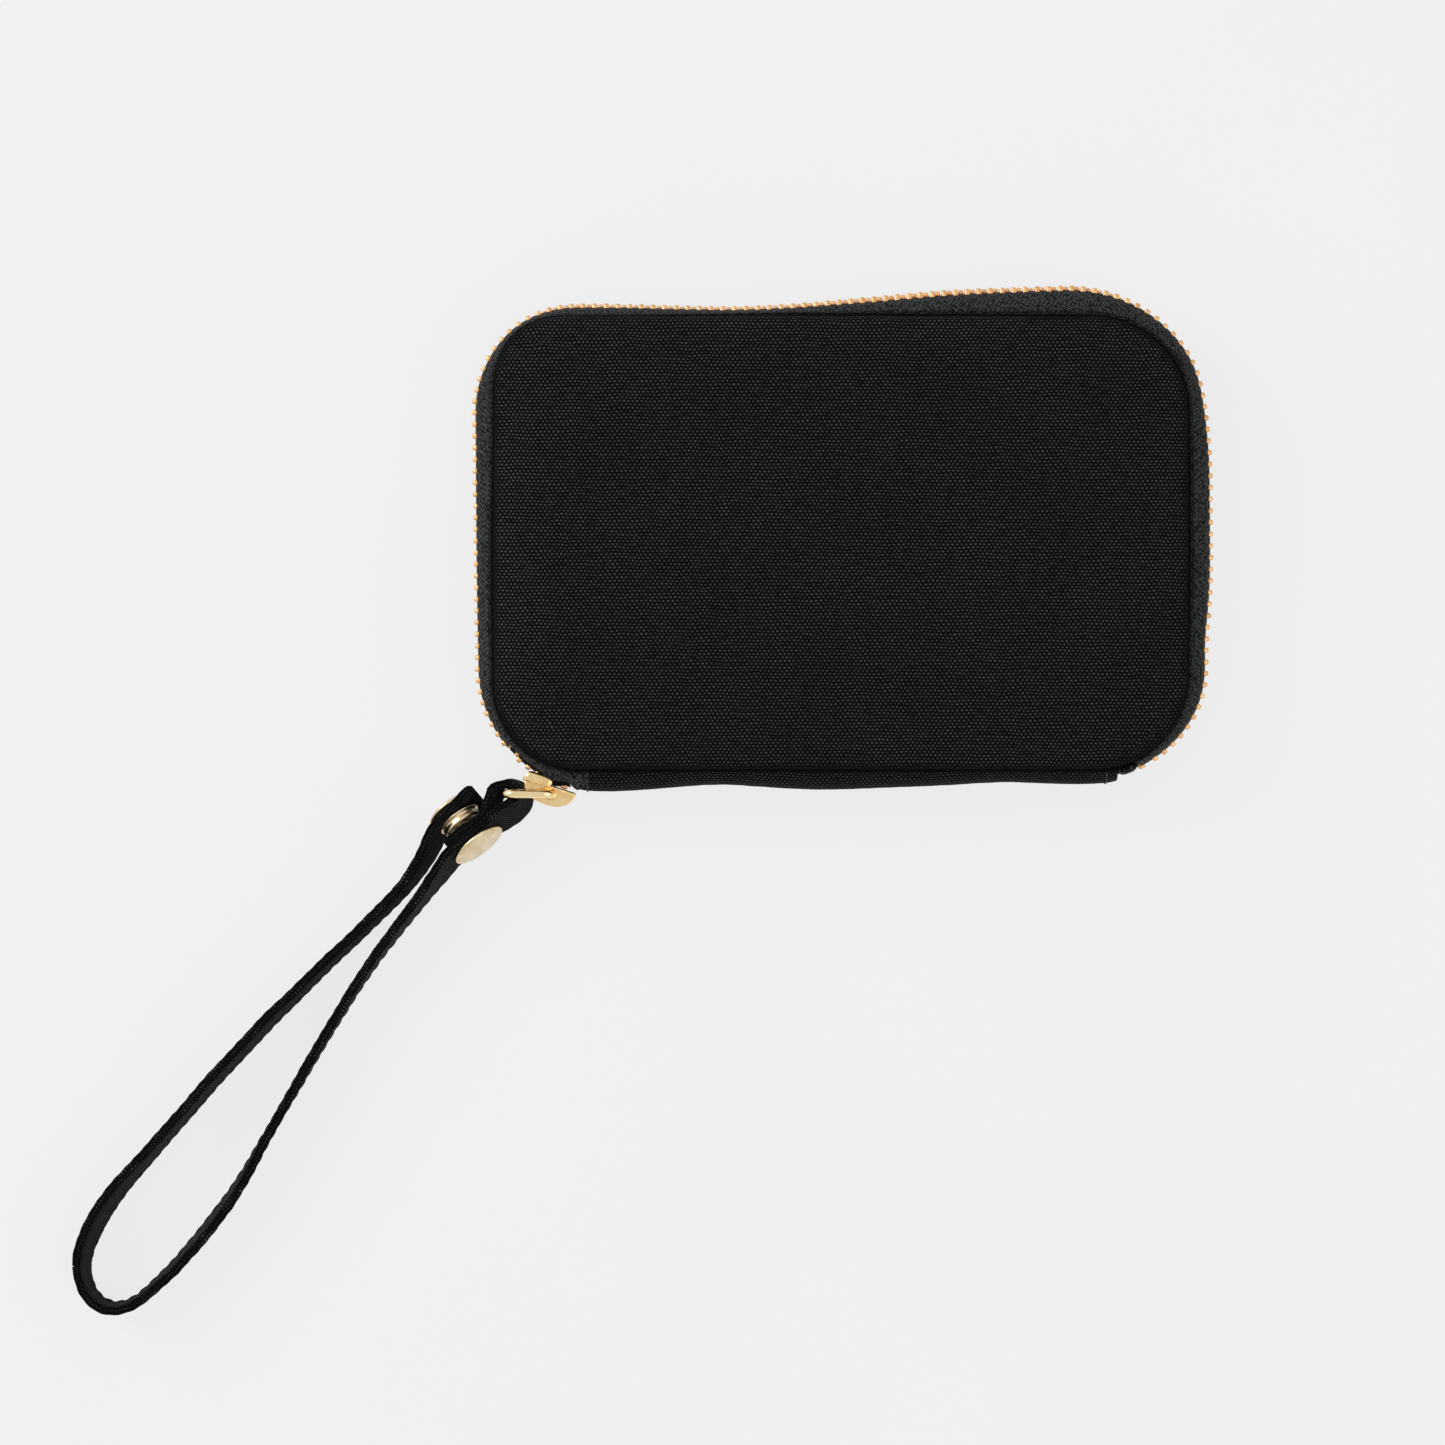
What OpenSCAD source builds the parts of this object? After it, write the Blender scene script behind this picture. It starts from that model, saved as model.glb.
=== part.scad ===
// Slim zippered pouch with a snap-on wrist strap, lying on its back cover.
// Origin at the centre of the resting face, +X along the width, +Y towards the top
// edge, +Z out of the front cover. Millimetres.

/* [Covers] */
// Width of each padded cover
panel_w = 153.4; // [152:0.2:154]
// Height of each padded cover
panel_h = 99.4; // [98.6:0.2:100]
// Thickness of each padded cover with its lining
panel_t = 4; // [3.8:0.1:4]
// Thickness of the canvas
canvas_t = 0.9; // [0.6:0.1:1]
// Thickness of the lining cloth
lining_t = 0.6; // [0.4:0.1:0.6]

/* [Gusset] */
// Gap between the two covers
gusset_h = 14; // [14:0.1:14.2]
// How far the spine bulges past the covers
spine_bulge = 3.9; // [3:0.1:3.9]
// Left end of the spine
spine_left = -57.9; // [-57.9:0.1:-56]
// Right end of the spine
spine_right = 59.8; // [58:0.1:59.8]

/* [Zip] */
// Distance between two teeth of one row
tooth_pitch = 2.54; // [2.4:0.02:3]
// Length of a tooth along the chain
tooth_len = 1.1; // [0.9:0.1:1.3]
// Height of a tooth across the chain
tooth_h = 1.8; // [1.4:0.1:1.8]
// Depth of a tooth through the chain
tooth_depth = 2.2; // [1.8:0.1:2.2]
// Thickness of the zip tape
tape_t = 0.7; // [0.5:0.1:0.8]

/* [Slider] */
// Length of the slider body
slider_len = 12; // [11:0.2:12]
// Width of the slider body across the chain
slider_w = 8.6; // [8:0.2:8.6]
// Thickness of the crown that holds the ring
crown_t = 2.2; // [1.8:0.1:2.4]

/* [Ring and strap] */
// Diameter of the ring's wire
wire_d = 1.9; // [1.7:0.1:1.9]
// Height of the ring over its wire
ring_h = 16; // [16:0.1:16.2]
// Distance between the ring's two upright bars
ring_len = 10.4; // [10.2:0.1:10.6]
// Width of the strap ribbon
strap_w = 11.6; // [11:0.1:11.6]
// Thickness of the folded strap ribbon
strap_t = 2; // [1.8:0.1:2]
// Diameter of the snap caps
cap_d = 12.5; // [12:0.1:12.5]

/* [Hidden] */
total_t = 2 * panel_t + gusset_h;
mid_z = total_t / 2;
hx = panel_w / 2;
hy = panel_h / 2;
arc_steps = 10;

// Corners run clockwise from the lower left: [centre x, centre y, radius, first angle, last angle].
top_tilt = 1.75;
panel_corners = [
    [-hx + 19, -hy + 19, 19, 270, 180],
    [-hx + 16.2, hy - 16.2, 16.2, 180, 90],
    [hx - 21, hy - 21, 21, 90, 0],
    [hx - 21.5, -hy + 21.5, 21.5, 0, -90]];
chain_corners = [
    [-52, -27.1, 28, 254, 180],
    [-56.4, 28.5, 24.3, 180, 90 + top_tilt],
    [49, 24.4, 31.6, 90 + top_tilt, 0],
    [52.9, -24.3, 28, 0, -74]];
chain_left = 254;
slider_tail_angle = 226;
front_left = 220;
front_right = -64;
back_right = -65;

function turn(a) = [cos(a), sin(a)];
function on_corner(c, a, inset = 0) = [c[0], c[1]] + (c[2] - inset) * turn(a);

// Outline of a cover, drawn in by inset.
function panel(inset) = [for (c = panel_corners, k = [0:arc_steps])
    on_corner(c, c[3] + (c[4] - c[3]) * k / arc_steps, inset)];

// A place on the chain at distance s from its left end: [x, y, angle of the outward normal].
function arc_len(c) = c[2] * (c[3] - c[4]) * PI / 180;
function run_start(i) = on_corner(chain_corners[i], chain_corners[i][4]);
function run_end(i) = on_corner(chain_corners[i + 1], chain_corners[i + 1][3]);
function run_len(i) = i < 3 ? norm(run_end(i) - run_start(i)) : 0;
function arc_place(c, s) = let (a = c[3] - s * 180 / (PI * c[2])) concat(on_corner(c, a), [a]);
function run_place(i, s) = concat(
    run_start(i) + (run_end(i) - run_start(i)) * s / run_len(i), [chain_corners[i][4]]);
function chain_at(s, i = 0) =
    let (c = chain_corners[i], a = arc_len(c), r = run_len(i))
    s <= a || i == 3 ? arc_place(c, s)
    : s <= a + r ? run_place(i, s - a)
    : chain_at(s - a - r, i + 1);
chain_len = arc_len(chain_corners[0]) + run_len(0) + arc_len(chain_corners[1]) + run_len(1)
    + arc_len(chain_corners[2]) + run_len(2) + arc_len(chain_corners[3]);

// Sections of the zip tape from its seam (0) out to the chain (1), as [share, height].
row_gap = 1.2;
row_z = mid_z - row_gap / 2 - tooth_h;
tape_profile = [[0, panel_t], [0.62, panel_t + 1.4], [1, panel_t + 3.2], [1, row_z]];
end_profile = [[0.85, panel_t + 2.4], [1, panel_t + 3.2], [1, row_z]];
seam_inset = 0.5;
tape_inset = 0.75;

// Joins rings of equal length into one closed solid.
module loft(rings) {
    n = len(rings[0]);
    m = len(rings);
    sides = [for (i = [0:m - 2], k = [0:n - 1]) each [
        [i * n + k, (i + 1) * n + k, i * n + (k + 1) % n],
        [(i + 1) * n + k, (i + 1) * n + (k + 1) % n, i * n + (k + 1) % n]]];
    first = [for (k = [1:n - 2]) [0, k, k + 1]];
    last = [for (k = [1:n - 2]) [(m - 1) * n, (m - 1) * n + k + 1, (m - 1) * n + k]];
    polyhedron(points = [for (r = rings, p = r) p], faces = concat(sides, first, last));
}

function tape_ring(i, a, profile) =
    let (seam = on_corner(panel_corners[i], a, seam_inset),
        chain = on_corner(chain_corners[i], a, tape_inset),
        outer = [for (p = profile) concat(seam + (chain - seam) * p[0], [p[1]])])
    concat(outer, [for (k = [len(profile) - 1:-1:0]) outer[k] - tape_t * concat(turn(a), [0])]);

// Tape of the back cover between two angles of its first and last corners.
module tape(left, right) {
    ends = [[left, 180], [180, 90 + top_tilt], [90 + top_tilt, 0], [0, right]];
    loft([for (i = [0:3], k = [0:arc_steps])
        tape_ring(i, ends[i][0] + (ends[i][1] - ends[i][0]) * k / arc_steps, tape_profile)]);
}

// Short stretch of tape beside the chain, round the first corner.
module tape_end(from, to) {
    steps = 5;
    loft([for (k = [0:steps]) tape_ring(0, from + (to - from) * k / steps, end_profile)]);
}

// Teeth between two distances along the chain, half a pitch on for the other row.
module teeth(from, to) {
    for (s = [from:tooth_pitch:to]) {
        place = chain_at(s);
        translate([place[0], place[1], row_z]) rotate([0, 0, place[2]])
            translate([-tooth_depth, -tooth_len / 2, 0]) cube([tooth_depth, tooth_len, tooth_h]);
    }
}

// Copies the back half's shape to the front cover.
module to_front() {
    translate([0, 0, total_t]) mirror([0, 0, 1]) children();
}

edge_steps = [[0, 1.5], [0.7, 0.5], [1.5, 0]];

module cover() {
    tray_h = panel_t - lining_t;
    difference() {
        for (k = [0:2]) {
            top = k < 2 ? edge_steps[k + 1][0] : tray_h;
            translate([0, 0, edge_steps[k][0]]) linear_extrude(top - edge_steps[k][0])
                polygon(panel(edge_steps[k][1]));
        }
        translate([0, 0, 1.5]) linear_extrude(tray_h) polygon(panel(canvas_t));
        translate([0, 0, canvas_t]) linear_extrude(tray_h) polygon(panel(1.5 + canvas_t));
    }
}

module padding() {
    tray_h = panel_t - lining_t;
    translate([0, 0, 1.5]) linear_extrude(tray_h - 1.5) polygon(panel(canvas_t));
    translate([0, 0, canvas_t]) linear_extrude(1.5 - canvas_t) polygon(panel(1.5 + canvas_t));
}

module lining() {
    translate([0, 0, panel_t - lining_t]) linear_extrude(lining_t) polygon(panel(0.4));
}

binding_in = 1.7;
binding_w = 1.9;
binding_h = 1.7;

module binding() {
    translate([0, 0, panel_t]) linear_extrude(binding_h) difference() {
        polygon(panel(binding_in));
        polygon(panel(binding_in + binding_w));
    }
}

// Spine cross-section: share of the way from the seam axis to the bulge at height h.
spine_gap = 0.3;
spine_steps = 10;
function spine_h(k) = spine_gap + (gusset_h - 2 * spine_gap) * k / spine_steps;
function spine_out(k, skin) = let (w = sin(180 * k / spine_steps))
    -hy - spine_gap - max(0, (spine_bulge - spine_gap) * w - skin);
function spine_line(skin) = [for (k = [0:spine_steps]) [spine_out(k, skin), panel_t + spine_h(k)]];
function reversed(list) = [for (k = [len(list) - 1:-1:0]) list[k]];

module spine_skin(outer, inner) {
    translate([spine_left, 0, 0]) rotate([90, 0, 90]) linear_extrude(spine_right - spine_left)
        polygon(concat(spine_line(outer), reversed([for (p = spine_line(inner)) p + [0.01, 0]])));
}

// Slider frame: x out of the chain, y towards the spine, z up.
slider_angle = 247;
slider_y = -6.8;
wing_in = 28.2;
wing_t = 0.8;
inner_wing = [24, 25];
crown_r = 32.2;
hole_at = [30.35, 0.8];
hole_d = 2.3;

module at_slider() {
    translate([chain_corners[0][0], chain_corners[0][1], 0]) rotate([0, 0, slider_angle]) children();
}

function slider_point(p) = [chain_corners[0][0], chain_corners[0][1]]
    + p[0] * turn(slider_angle) + p[1] * turn(slider_angle + 90);
ring_axis = slider_point(hole_at);
bar_axis = ring_axis - [ring_len, 0];

// Ribbon route: [x, y, height of the middle, lean of the upper edge to the upper left].
long_leg_route = [[-75.5, -61.2, 10, 17], [-80.2, -64.9, 10, 17], [-84.9, -68.65, 9.8, 17],
    [-88.8, -73.7, 8.8, 12], [-92.9, -79, 7.8, 7], [-102.5, -91.5, 6.6, 3], [-110.9, -104.5, 6, 1],
    [-118.9, -118, 5.9, 0], [-126.4, -131, 5.9, -3], [-131.5, -140, 5.9, -6],
    [-137.5, -148.5, 5.9, -8], [-145, -157.5, 5.9, -6], [-150.6, -163, 5.9, -4],
    [-154.8, -166.4, 5.9, -2], [-158.8, -167.9, 5.9, -1], [-162.6, -167, 5.9, -2],
    [-165.3, -164.4, 5.9, -4], [-166.5, -161, 5.9, -6], [-166.8, -158.4, 5.9, -8]];
snap_leg_route = [[-166.8, -157.6, 5.9, -8], [-166.4, -155, 5.9, -10], [-165.2, -152, 5.9, -12],
    [-162.9, -147.5, 5.9, -13], [-157.2, -140, 5.9, -11], [-149.2, -131, 5.9, -8],
    [-137.9, -118, 5.9, -8], [-125.3, -104.5, 5.9, -8], [-112.1, -91.5, 5.9, -6],
    [-98.3, -77.5, 6.2, -7], [-92.3, -68.7, 6.9, -12], [-89, -62.85, 7.75, -17],
    [-84.54, -59.35, 7.85, -17], [-79.8, -55.65, 7.85, -17]];
tab_route = [[-85.7, -66.9, 9.4, -17], [-81.3, -63.45, 9.45, -17], [-78.4, -61.2, 9.3, -16],
    [-76.8, -58.9, 8.7, -9], [-76.4, -56.2, 8, 0], [-75.6, -53.8, 8, 0],
    [-73.8, -52.6, 8, 0], [-71.8, -52.7, 8, 2], [-70.3, -53.8, 8, 6], [-69.8, -55.7, 8.1, 11],
    [-70.6, -57.8, 8.6, 15], [-73.2, -59.9, 9.2, 17]];
tab_t = 1.4;

function spline(a, b, c, d, t) = 0.5 * (2 * b + (c - a) * t + (2 * a - 5 * b + 4 * c - d) * t * t
    + (3 * b - a - 3 * c + d) * t * t * t);
function smooth(route, steps) = let (n = len(route)) [for (i = [0:n - 2], k = [0:steps - 1])
    spline(route[max(i - 1, 0)], route[i], route[i + 1], route[min(i + 2, n - 1)], k / steps),
    route[n - 1]];
function ribbon_ring(p, ahead, t, w) =
    let (d = [ahead[0], ahead[1]] / norm([ahead[0], ahead[1]]),
        side = [d[1], -d[0], 0],
        up = cos(p[3]) * [0, 0, 1] + sin(p[3]) * side,
        out = cos(p[3]) * side - sin(p[3]) * [0, 0, 1],
        c = [p[0], p[1], p[2]])
    [c + out * t / 2 - up * w / 2, c + out * t / 2 + up * w / 2,
        c - out * t / 2 + up * w / 2, c - out * t / 2 - up * w / 2];

module ribbon(route, thickness, steps) {
    line = smooth(route, steps);
    n = len(line);
    loft([for (i = [0:n - 1])
        ribbon_ring(line[i], line[min(i + 1, n - 1)] - line[max(i - 1, 0)], thickness, strap_w)]);
}

// Snap frame: z along the snap's axis, out of the long leg's outer face.
snap_at = [-80.2, -64.9, 10];
module at_snap(along) {
    translate(snap_at) rotate([0, 73, -52]) translate([0, 0, along]) children();
}

cap_h = 1.7;
module snap_cap() {
    rim = 0.5;
    steps = 6;
    dome = [for (k = [0:steps]) [cap_d / 2 * cos(90 * k / steps), rim + (cap_h - rim) * sin(90 * k / steps)]];
    rotate_extrude($fn = 48) polygon(concat([[0, 0], [cap_d / 2, 0]], dome));
}

// ---- back half ----
module back_cover() { color("#161618") cover(); }
module back_padding() { color("#b8b4a8") padding(); }
module back_lining() { color("#2a2a2c") lining(); }
module back_seam_binding() { color("#1c1c1e") binding(); }
module back_zip_tape() { color("#121214") tape(chain_left, back_right); }
module back_zip_teeth() {
    color("#c98a3c") teeth(3 * tooth_pitch / 2, chain_len - 7);
}
module zip_bottom_stop() {
    place = chain_at(chain_len - 5.4);
    color("#c98a3c") translate([place[0], place[1], row_z]) rotate([0, 0, place[2]])
        translate([-tooth_depth, -0.7, 0]) cube([tooth_depth, 1.4, tooth_h + 0.8]);
}
// Cloth tab over the right end of the chain.
module zip_end_tab() {
    c = chain_corners[3];
    color("#121214") loft([for (k = [0:4]) let (a = -66 - 2 * k, o = on_corner(c, a, 0.5),
        n = on_corner(c, a, 2.1)) [concat(o, [4.8]), concat(o, [15.4]), concat(n, [15.4]),
        concat(n, [4.8])]]);
}
module zip_top_stops() {
    place = chain_at(1.1);
    color("#c98a3c") for (z = [row_z, mid_z + row_gap / 2])
        translate([place[0], place[1], z]) rotate([0, 0, place[2]])
            translate([-tooth_depth, -0.8, 0]) cube([tooth_depth, 1.6, tooth_h]);
}
module front_tape_end() { color("#121214") to_front() tape_end(chain_left, slider_tail_angle); }
module front_end_teeth() {
    color("#c98a3c") to_front() teeth(tooth_pitch + 0.1, arc_len([0, 0, 28, chain_left, slider_tail_angle]) - 0.6);
}

// ---- spine ----
spine_canvas = 1.2;
module spine_gusset() { color("#161618") spine_skin(0, spine_canvas); }
module spine_lining() { color("#2a2a2c") translate([0, 0.01, 0]) spine_skin(spine_canvas, spine_canvas + 0.6); }

// ---- front half ----
module front_cover() { color("#161618") to_front() cover(); }
module front_padding() { color("#b8b4a8") to_front() padding(); }
module front_lining() { color("#2a2a2c") to_front() lining(); }
module front_seam_binding() { color("#1c1c1e") to_front() binding(); }
module front_zip_tape() { color("#121214") to_front() tape(front_left, front_right); }
module front_zip_teeth() {
    first = ceil(arc_len([0, 0, 28, chain_left, front_left]) / tooth_pitch) * tooth_pitch;
    color("#c98a3c") to_front() teeth(first, chain_len - 7);
}

// ---- slider, ring and strap ----
// Both wings and the diamond that joins them at the nose.
module slider_body() {
    outer_z = mid_z - slider_w / 2;
    post_h = 0.8;
    flange = 1;
    color("#d8b878") at_slider() {
        translate([wing_in, slider_y, outer_z]) cube([wing_t, slider_len, slider_w]);
        for (z = [outer_z, outer_z + slider_w - flange])
            translate([wing_in - 0.7, slider_y, z]) cube([0.7, slider_len / 2, flange]);
        translate([inner_wing[0], slider_y + 1.3, outer_z + 0.2])
            cube([inner_wing[1] - inner_wing[0], slider_len - 3.6, slider_w - 0.4]);
        translate([inner_wing[1], slider_y + slider_len - 4.2, mid_z - post_h / 2])
            cube([wing_in - inner_wing[1], 1.8, post_h]);
    }
}
module slider_crown() {
    face = wing_in + wing_t;
    color("#d8b878") at_slider() difference() {
        translate([0, 0, mid_z - crown_t / 2]) linear_extrude(crown_t)
            polygon([[face, -4.2], [crown_r - 0.8, -4.2], [crown_r, -3.4], [crown_r, 2.4],
                [crown_r - 1.2, 4.4], [face, 4.9]]);
        translate([hole_at[0], hole_at[1], mid_z - crown_t])
            cylinder(d = hole_d, h = 2 * crown_t, $fn = 32);
    }
}
// Rounded rectangular ring standing upright, through the crown and the tab.
module pull_ring() {
    bend = 2.4;
    low = wire_d / 2;
    high = ring_h - wire_d / 2;
    r = wire_d / 2;
    color("#e0bf7c") translate([bar_axis[0], bar_axis[1], 0]) rotate([90, 0, 0]) {
        for (x = [0, ring_len]) translate([x, low + bend, 0]) rotate([-90, 0, 0])
            cylinder(r = r, h = high - low - 2 * bend, $fn = 24);
        for (y = [low, high]) translate([bend, y, 0]) rotate([0, 90, 0])
            cylinder(r = r, h = ring_len - 2 * bend, $fn = 24);
        for (c = [[bend, low + bend, 180], [ring_len - bend, low + bend, 270],
            [ring_len - bend, high - bend, 0], [bend, high - bend, 90]])
            translate([c[0], c[1], 0]) rotate([0, 0, c[2]])
                rotate_extrude(angle = 90, $fn = 48) translate([bend, 0]) circle(r = r, $fn = 24);
    }
}
module strap_tab_loop() { color("#1a1a1c") ribbon(tab_route, tab_t, 3); }
module strap_long_leg() { color("#1a1a1c") ribbon(long_leg_route, strap_t, 2); }
module strap_snap_leg() { color("#1a1a1c") ribbon(snap_leg_route, strap_t, 3); }
module snap_cap_long_leg() { color("#d8c79a") at_snap(1.25) snap_cap(); }
module snap_stud() {
    color("#d8c79a") at_snap(-3.5) {
        cylinder(r = 4, h = 0.6, $fn = 32);
        translate([0, 0, -1.4]) cylinder(r = 1.8, h = 1.4, $fn = 32);
    }
}
module snap_socket() {
    color("#d8c79a") at_snap(-6.2) difference() {
        cylinder(r = 4.6, h = 2.4, $fn = 32);
        translate([0, 0, 0.7]) cylinder(r = 2.5, h = 3, $fn = 32);
    }
}
module snap_cap_snap_leg() { color("#d8c79a") at_snap(-8.6) mirror([0, 0, 1]) snap_cap(); }

back_cover();
back_padding();
back_lining();
back_seam_binding();
back_zip_tape();
back_zip_teeth();
zip_bottom_stop();
zip_end_tab();
zip_top_stops();
front_tape_end();
front_end_teeth();
spine_gusset();
spine_lining();
front_cover();
front_padding();
front_lining();
front_seam_binding();
front_zip_tape();
front_zip_teeth();
slider_body();
slider_crown();
pull_ring();
strap_tab_loop();
strap_long_leg();
strap_snap_leg();
snap_cap_long_leg();
snap_stud();
snap_cap_snap_leg();
snap_socket();
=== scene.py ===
"""Slim black canvas pouch with a brass zip and a snap-on wrist strap, lying on its back cover.

Lengths are millimetres in the frame of the CAD model until piece() turns them into metres.
"""

import math

import bmesh
import bpy
import numpy as np
from mathutils import Matrix, Vector


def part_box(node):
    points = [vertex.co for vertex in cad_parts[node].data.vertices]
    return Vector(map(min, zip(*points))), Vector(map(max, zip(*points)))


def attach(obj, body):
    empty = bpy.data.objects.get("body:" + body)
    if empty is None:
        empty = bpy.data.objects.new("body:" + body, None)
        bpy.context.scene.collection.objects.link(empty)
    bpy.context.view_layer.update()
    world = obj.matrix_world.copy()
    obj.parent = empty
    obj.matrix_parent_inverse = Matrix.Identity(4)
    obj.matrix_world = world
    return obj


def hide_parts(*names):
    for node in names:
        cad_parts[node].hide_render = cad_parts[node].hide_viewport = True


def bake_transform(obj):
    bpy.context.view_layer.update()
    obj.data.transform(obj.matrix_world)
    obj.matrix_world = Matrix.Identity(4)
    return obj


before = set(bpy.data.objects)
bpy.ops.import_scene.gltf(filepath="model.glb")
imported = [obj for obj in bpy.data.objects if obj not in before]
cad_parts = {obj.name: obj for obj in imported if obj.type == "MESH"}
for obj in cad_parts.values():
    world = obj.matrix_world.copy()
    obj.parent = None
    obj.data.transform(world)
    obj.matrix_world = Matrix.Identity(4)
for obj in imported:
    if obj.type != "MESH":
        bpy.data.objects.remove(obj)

MM = 0.001
MOST_ROUND_CORNERS = 12
scene = bpy.context.scene
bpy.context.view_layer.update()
random = np.random.default_rng(7)


def node_box(name):
    """Lowest and highest corner of a CAD node in millimetres."""
    low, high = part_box(name)
    return np.array(low) / MM, np.array(high) / MM


# ---- driving dimensions, from the frame ----
HX, HY = node_box("back_cover")[1][:2]
TOTAL_H = node_box("front_cover")[1][2]
MID_Z = TOTAL_H / 2
PANEL_H = node_box("back_lining")[1][2]
SPINE_LEFT, SPINE_RIGHT = node_box("spine_gusset")[0][0], node_box("spine_gusset")[1][0]
RING_LOW, RING_HIGH = node_box("pull_ring")
STRAP_W = 11.6
STRAP_T = 2.0
TAB_T = 1.8
PITCH = 2.54
TOOTH_DEPTH = 2.2

# The sewn cover is drawn in a little from the CAD cover: left, right, top and bottom edge.
LEFT, RIGHT, TOP, BOTTOM = -HX + 0.8, HX - 1.6, HY - 0.6, -HY
MID_X, MID_Y = (LEFT + RIGHT) / 2, (TOP + BOTTOM) / 2
HALF_W, HALF_H = (RIGHT - LEFT) / 2, (TOP - BOTTOM) / 2

# Corners run clockwise from the lower left: centre x, centre y, radius, first angle, last angle.
TOP_TILT = 1.75
PANEL = [
    (LEFT + 19.6, BOTTOM + 19.6, 19.6, 270, 180),
    (LEFT + 15.4, TOP - 15.4, 15.4, 180, 90),
    (RIGHT - 21.5, TOP - 21.5, 21.5, 90, 0),
    (RIGHT - 21, BOTTOM + 21, 21, 0, -90),
]
CHAIN = [
    (-52, -27.1, 28, 254, 180),
    (-56.4, 28.5, 24.3, 180, 90 + TOP_TILT),
    (49.3, 24.7, 31.3, 90 + TOP_TILT, 0),
    (52.9, -24.3, 28, 0, -74),
]
# Angles where the parts of the chain and the tapes begin or end, left and then right.
CHAIN_LEFT, TAIL_ANGLE, FRONT_LEFT = 254, 226, 220
FRONT_RIGHT, BACK_RIGHT = -64, -65


def sag(points, angles):
    """The chain lies a little inside its drawn line, most on the top left of the middle."""
    x, y = points[:, 0].copy(), points[:, 1].copy()
    upward = clamp(np.sin(np.radians(angles))) ** 6
    rest = 0.5 - 0.42 * clamp((x - 8) / 16)
    points[:, 1] -= upward * (rest + 1.9 * np.exp(-(((x + 20) / 27) ** 2)))
    rightward = clamp(np.cos(np.radians(angles))) ** 3
    upper, lower = np.exp(-(((y - 30) / 8) ** 2)), np.exp(-(((y + 24) / 10) ** 2))
    points[:, 0] -= rightward * (0.8 * upper + 1.1 * lower)


# ---- outlines and meshes ----
def turn(degrees):
    return np.array([math.cos(math.radians(degrees)), math.sin(math.radians(degrees))])


def clamp(value):
    return np.clip(value, 0, 1)


def circle(count):
    """Evenly spaced angles once round, in radians."""
    return np.linspace(0, 2 * math.pi, count, endpoint=False)


def squared(wave, power):
    """Flattens a sine or cosine towards a square one as the power falls below 1."""
    return np.sign(wave) * np.abs(wave) ** power


def on_corner(corner, angle, inset=0.0):
    return np.array(corner[:2]) + (corner[2] - inset) * turn(angle)


def outline(corners, inset=0.0, first=None, last=None, closed=False):
    """Rows of x, y and outward angle along rounded corners that straight runs join."""
    rows = []
    for i, corner in enumerate(corners):
        a = first if i == 0 and first is not None else corner[3]
        b = last if i == len(corners) - 1 and last is not None else corner[4]
        for angle in np.linspace(a, b, 2 + int(abs(a - b) / 2)):
            rows.append([*on_corner(corner, angle, inset), angle])
    if closed:
        rows.append([rows[0][0], rows[0][1], rows[0][2] - 360])
    return np.array(rows)


def distances(points):
    """Distance along a line of points, from its start."""
    steps = np.linalg.norm(np.diff(points, axis=0), axis=1)
    return np.concatenate([[0], np.cumsum(steps)])


def resample(rows, at, along=2):
    """The rows at given distances, measured over their first `along` columns."""
    done = distances(rows[:, :along])
    return np.stack([np.interp(at, done, rows[:, k]) for k in range(rows.shape[1])], axis=1)


def even(length, spacing, closed=False):
    """Evenly spaced distances along a length, about `spacing` apart."""
    count = max(2, int(round(length / spacing)) + 1)
    return np.linspace(0, length, count)[: -1 if closed else None]


def smooth_line(points, per_span):
    """Catmull-Rom curve through a list of points of any width."""
    p = np.array(points, float)
    ends = np.vstack([p[0], p, p[-1]])
    rows = []
    for a, b, c, d in zip(ends, ends[1:], ends[2:], ends[3:]):
        for t in np.linspace(0, 1, per_span, endpoint=False):
            rows.append(0.5 * (2 * b + (c - a) * t + (2 * a - 5 * b + 4 * c - d) * t**2
                               + (3 * b - a - 3 * c + d) * t**3))
    return np.array(rows + [p[-1]])


def waves(x, length, seed, y=0.0):
    """Smooth irregular wave between about -1 and 1 along x, and across y."""
    rng = np.random.default_rng(seed)
    total = 0
    for share in (1.0, 0.57, 0.36):
        a, b, c = rng.uniform(0, 2 * math.pi, 3)
        total = total + share * np.sin(2 * math.pi * x / (length * share) + a) * np.cos(
            2 * math.pi * y / (length * share * 1.3) + b + 0.4 * np.sin(x / length + c))
    return total / 1.5


def piece(name, points, faces, material, body=None, slot=None, flat=None):
    """A mesh object from points in millimetres. flat is each point's place on the uncut cloth.

    Faces of many corners are the flat ends of a strip, and keep a crisp edge."""
    mesh = bpy.data.meshes.new(name)
    mesh.from_pydata((np.asarray(points, float) * MM).tolist(), [], faces)
    if flat is not None:
        layer = mesh.attributes.new("cloth", "FLOAT_VECTOR", "POINT")
        layer.data.foreach_set("vector", np.asarray(flat, np.float32).ravel())
    bm = bmesh.new()
    bm.from_mesh(mesh)
    bmesh.ops.recalc_face_normals(bm, faces=bm.faces)
    for end in (f for f in bm.faces if len(f.verts) > MOST_ROUND_CORNERS):
        for edge in end.edges:
            edge.smooth = False
    bm.to_mesh(mesh)
    bm.free()
    mesh.polygons.foreach_set("use_smooth", [True] * len(mesh.polygons))
    mesh.materials.append(material)
    obj = bpy.data.objects.new(name, mesh)
    scene.collection.objects.link(obj)
    if body:
        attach(obj, body)
    return obj


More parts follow.
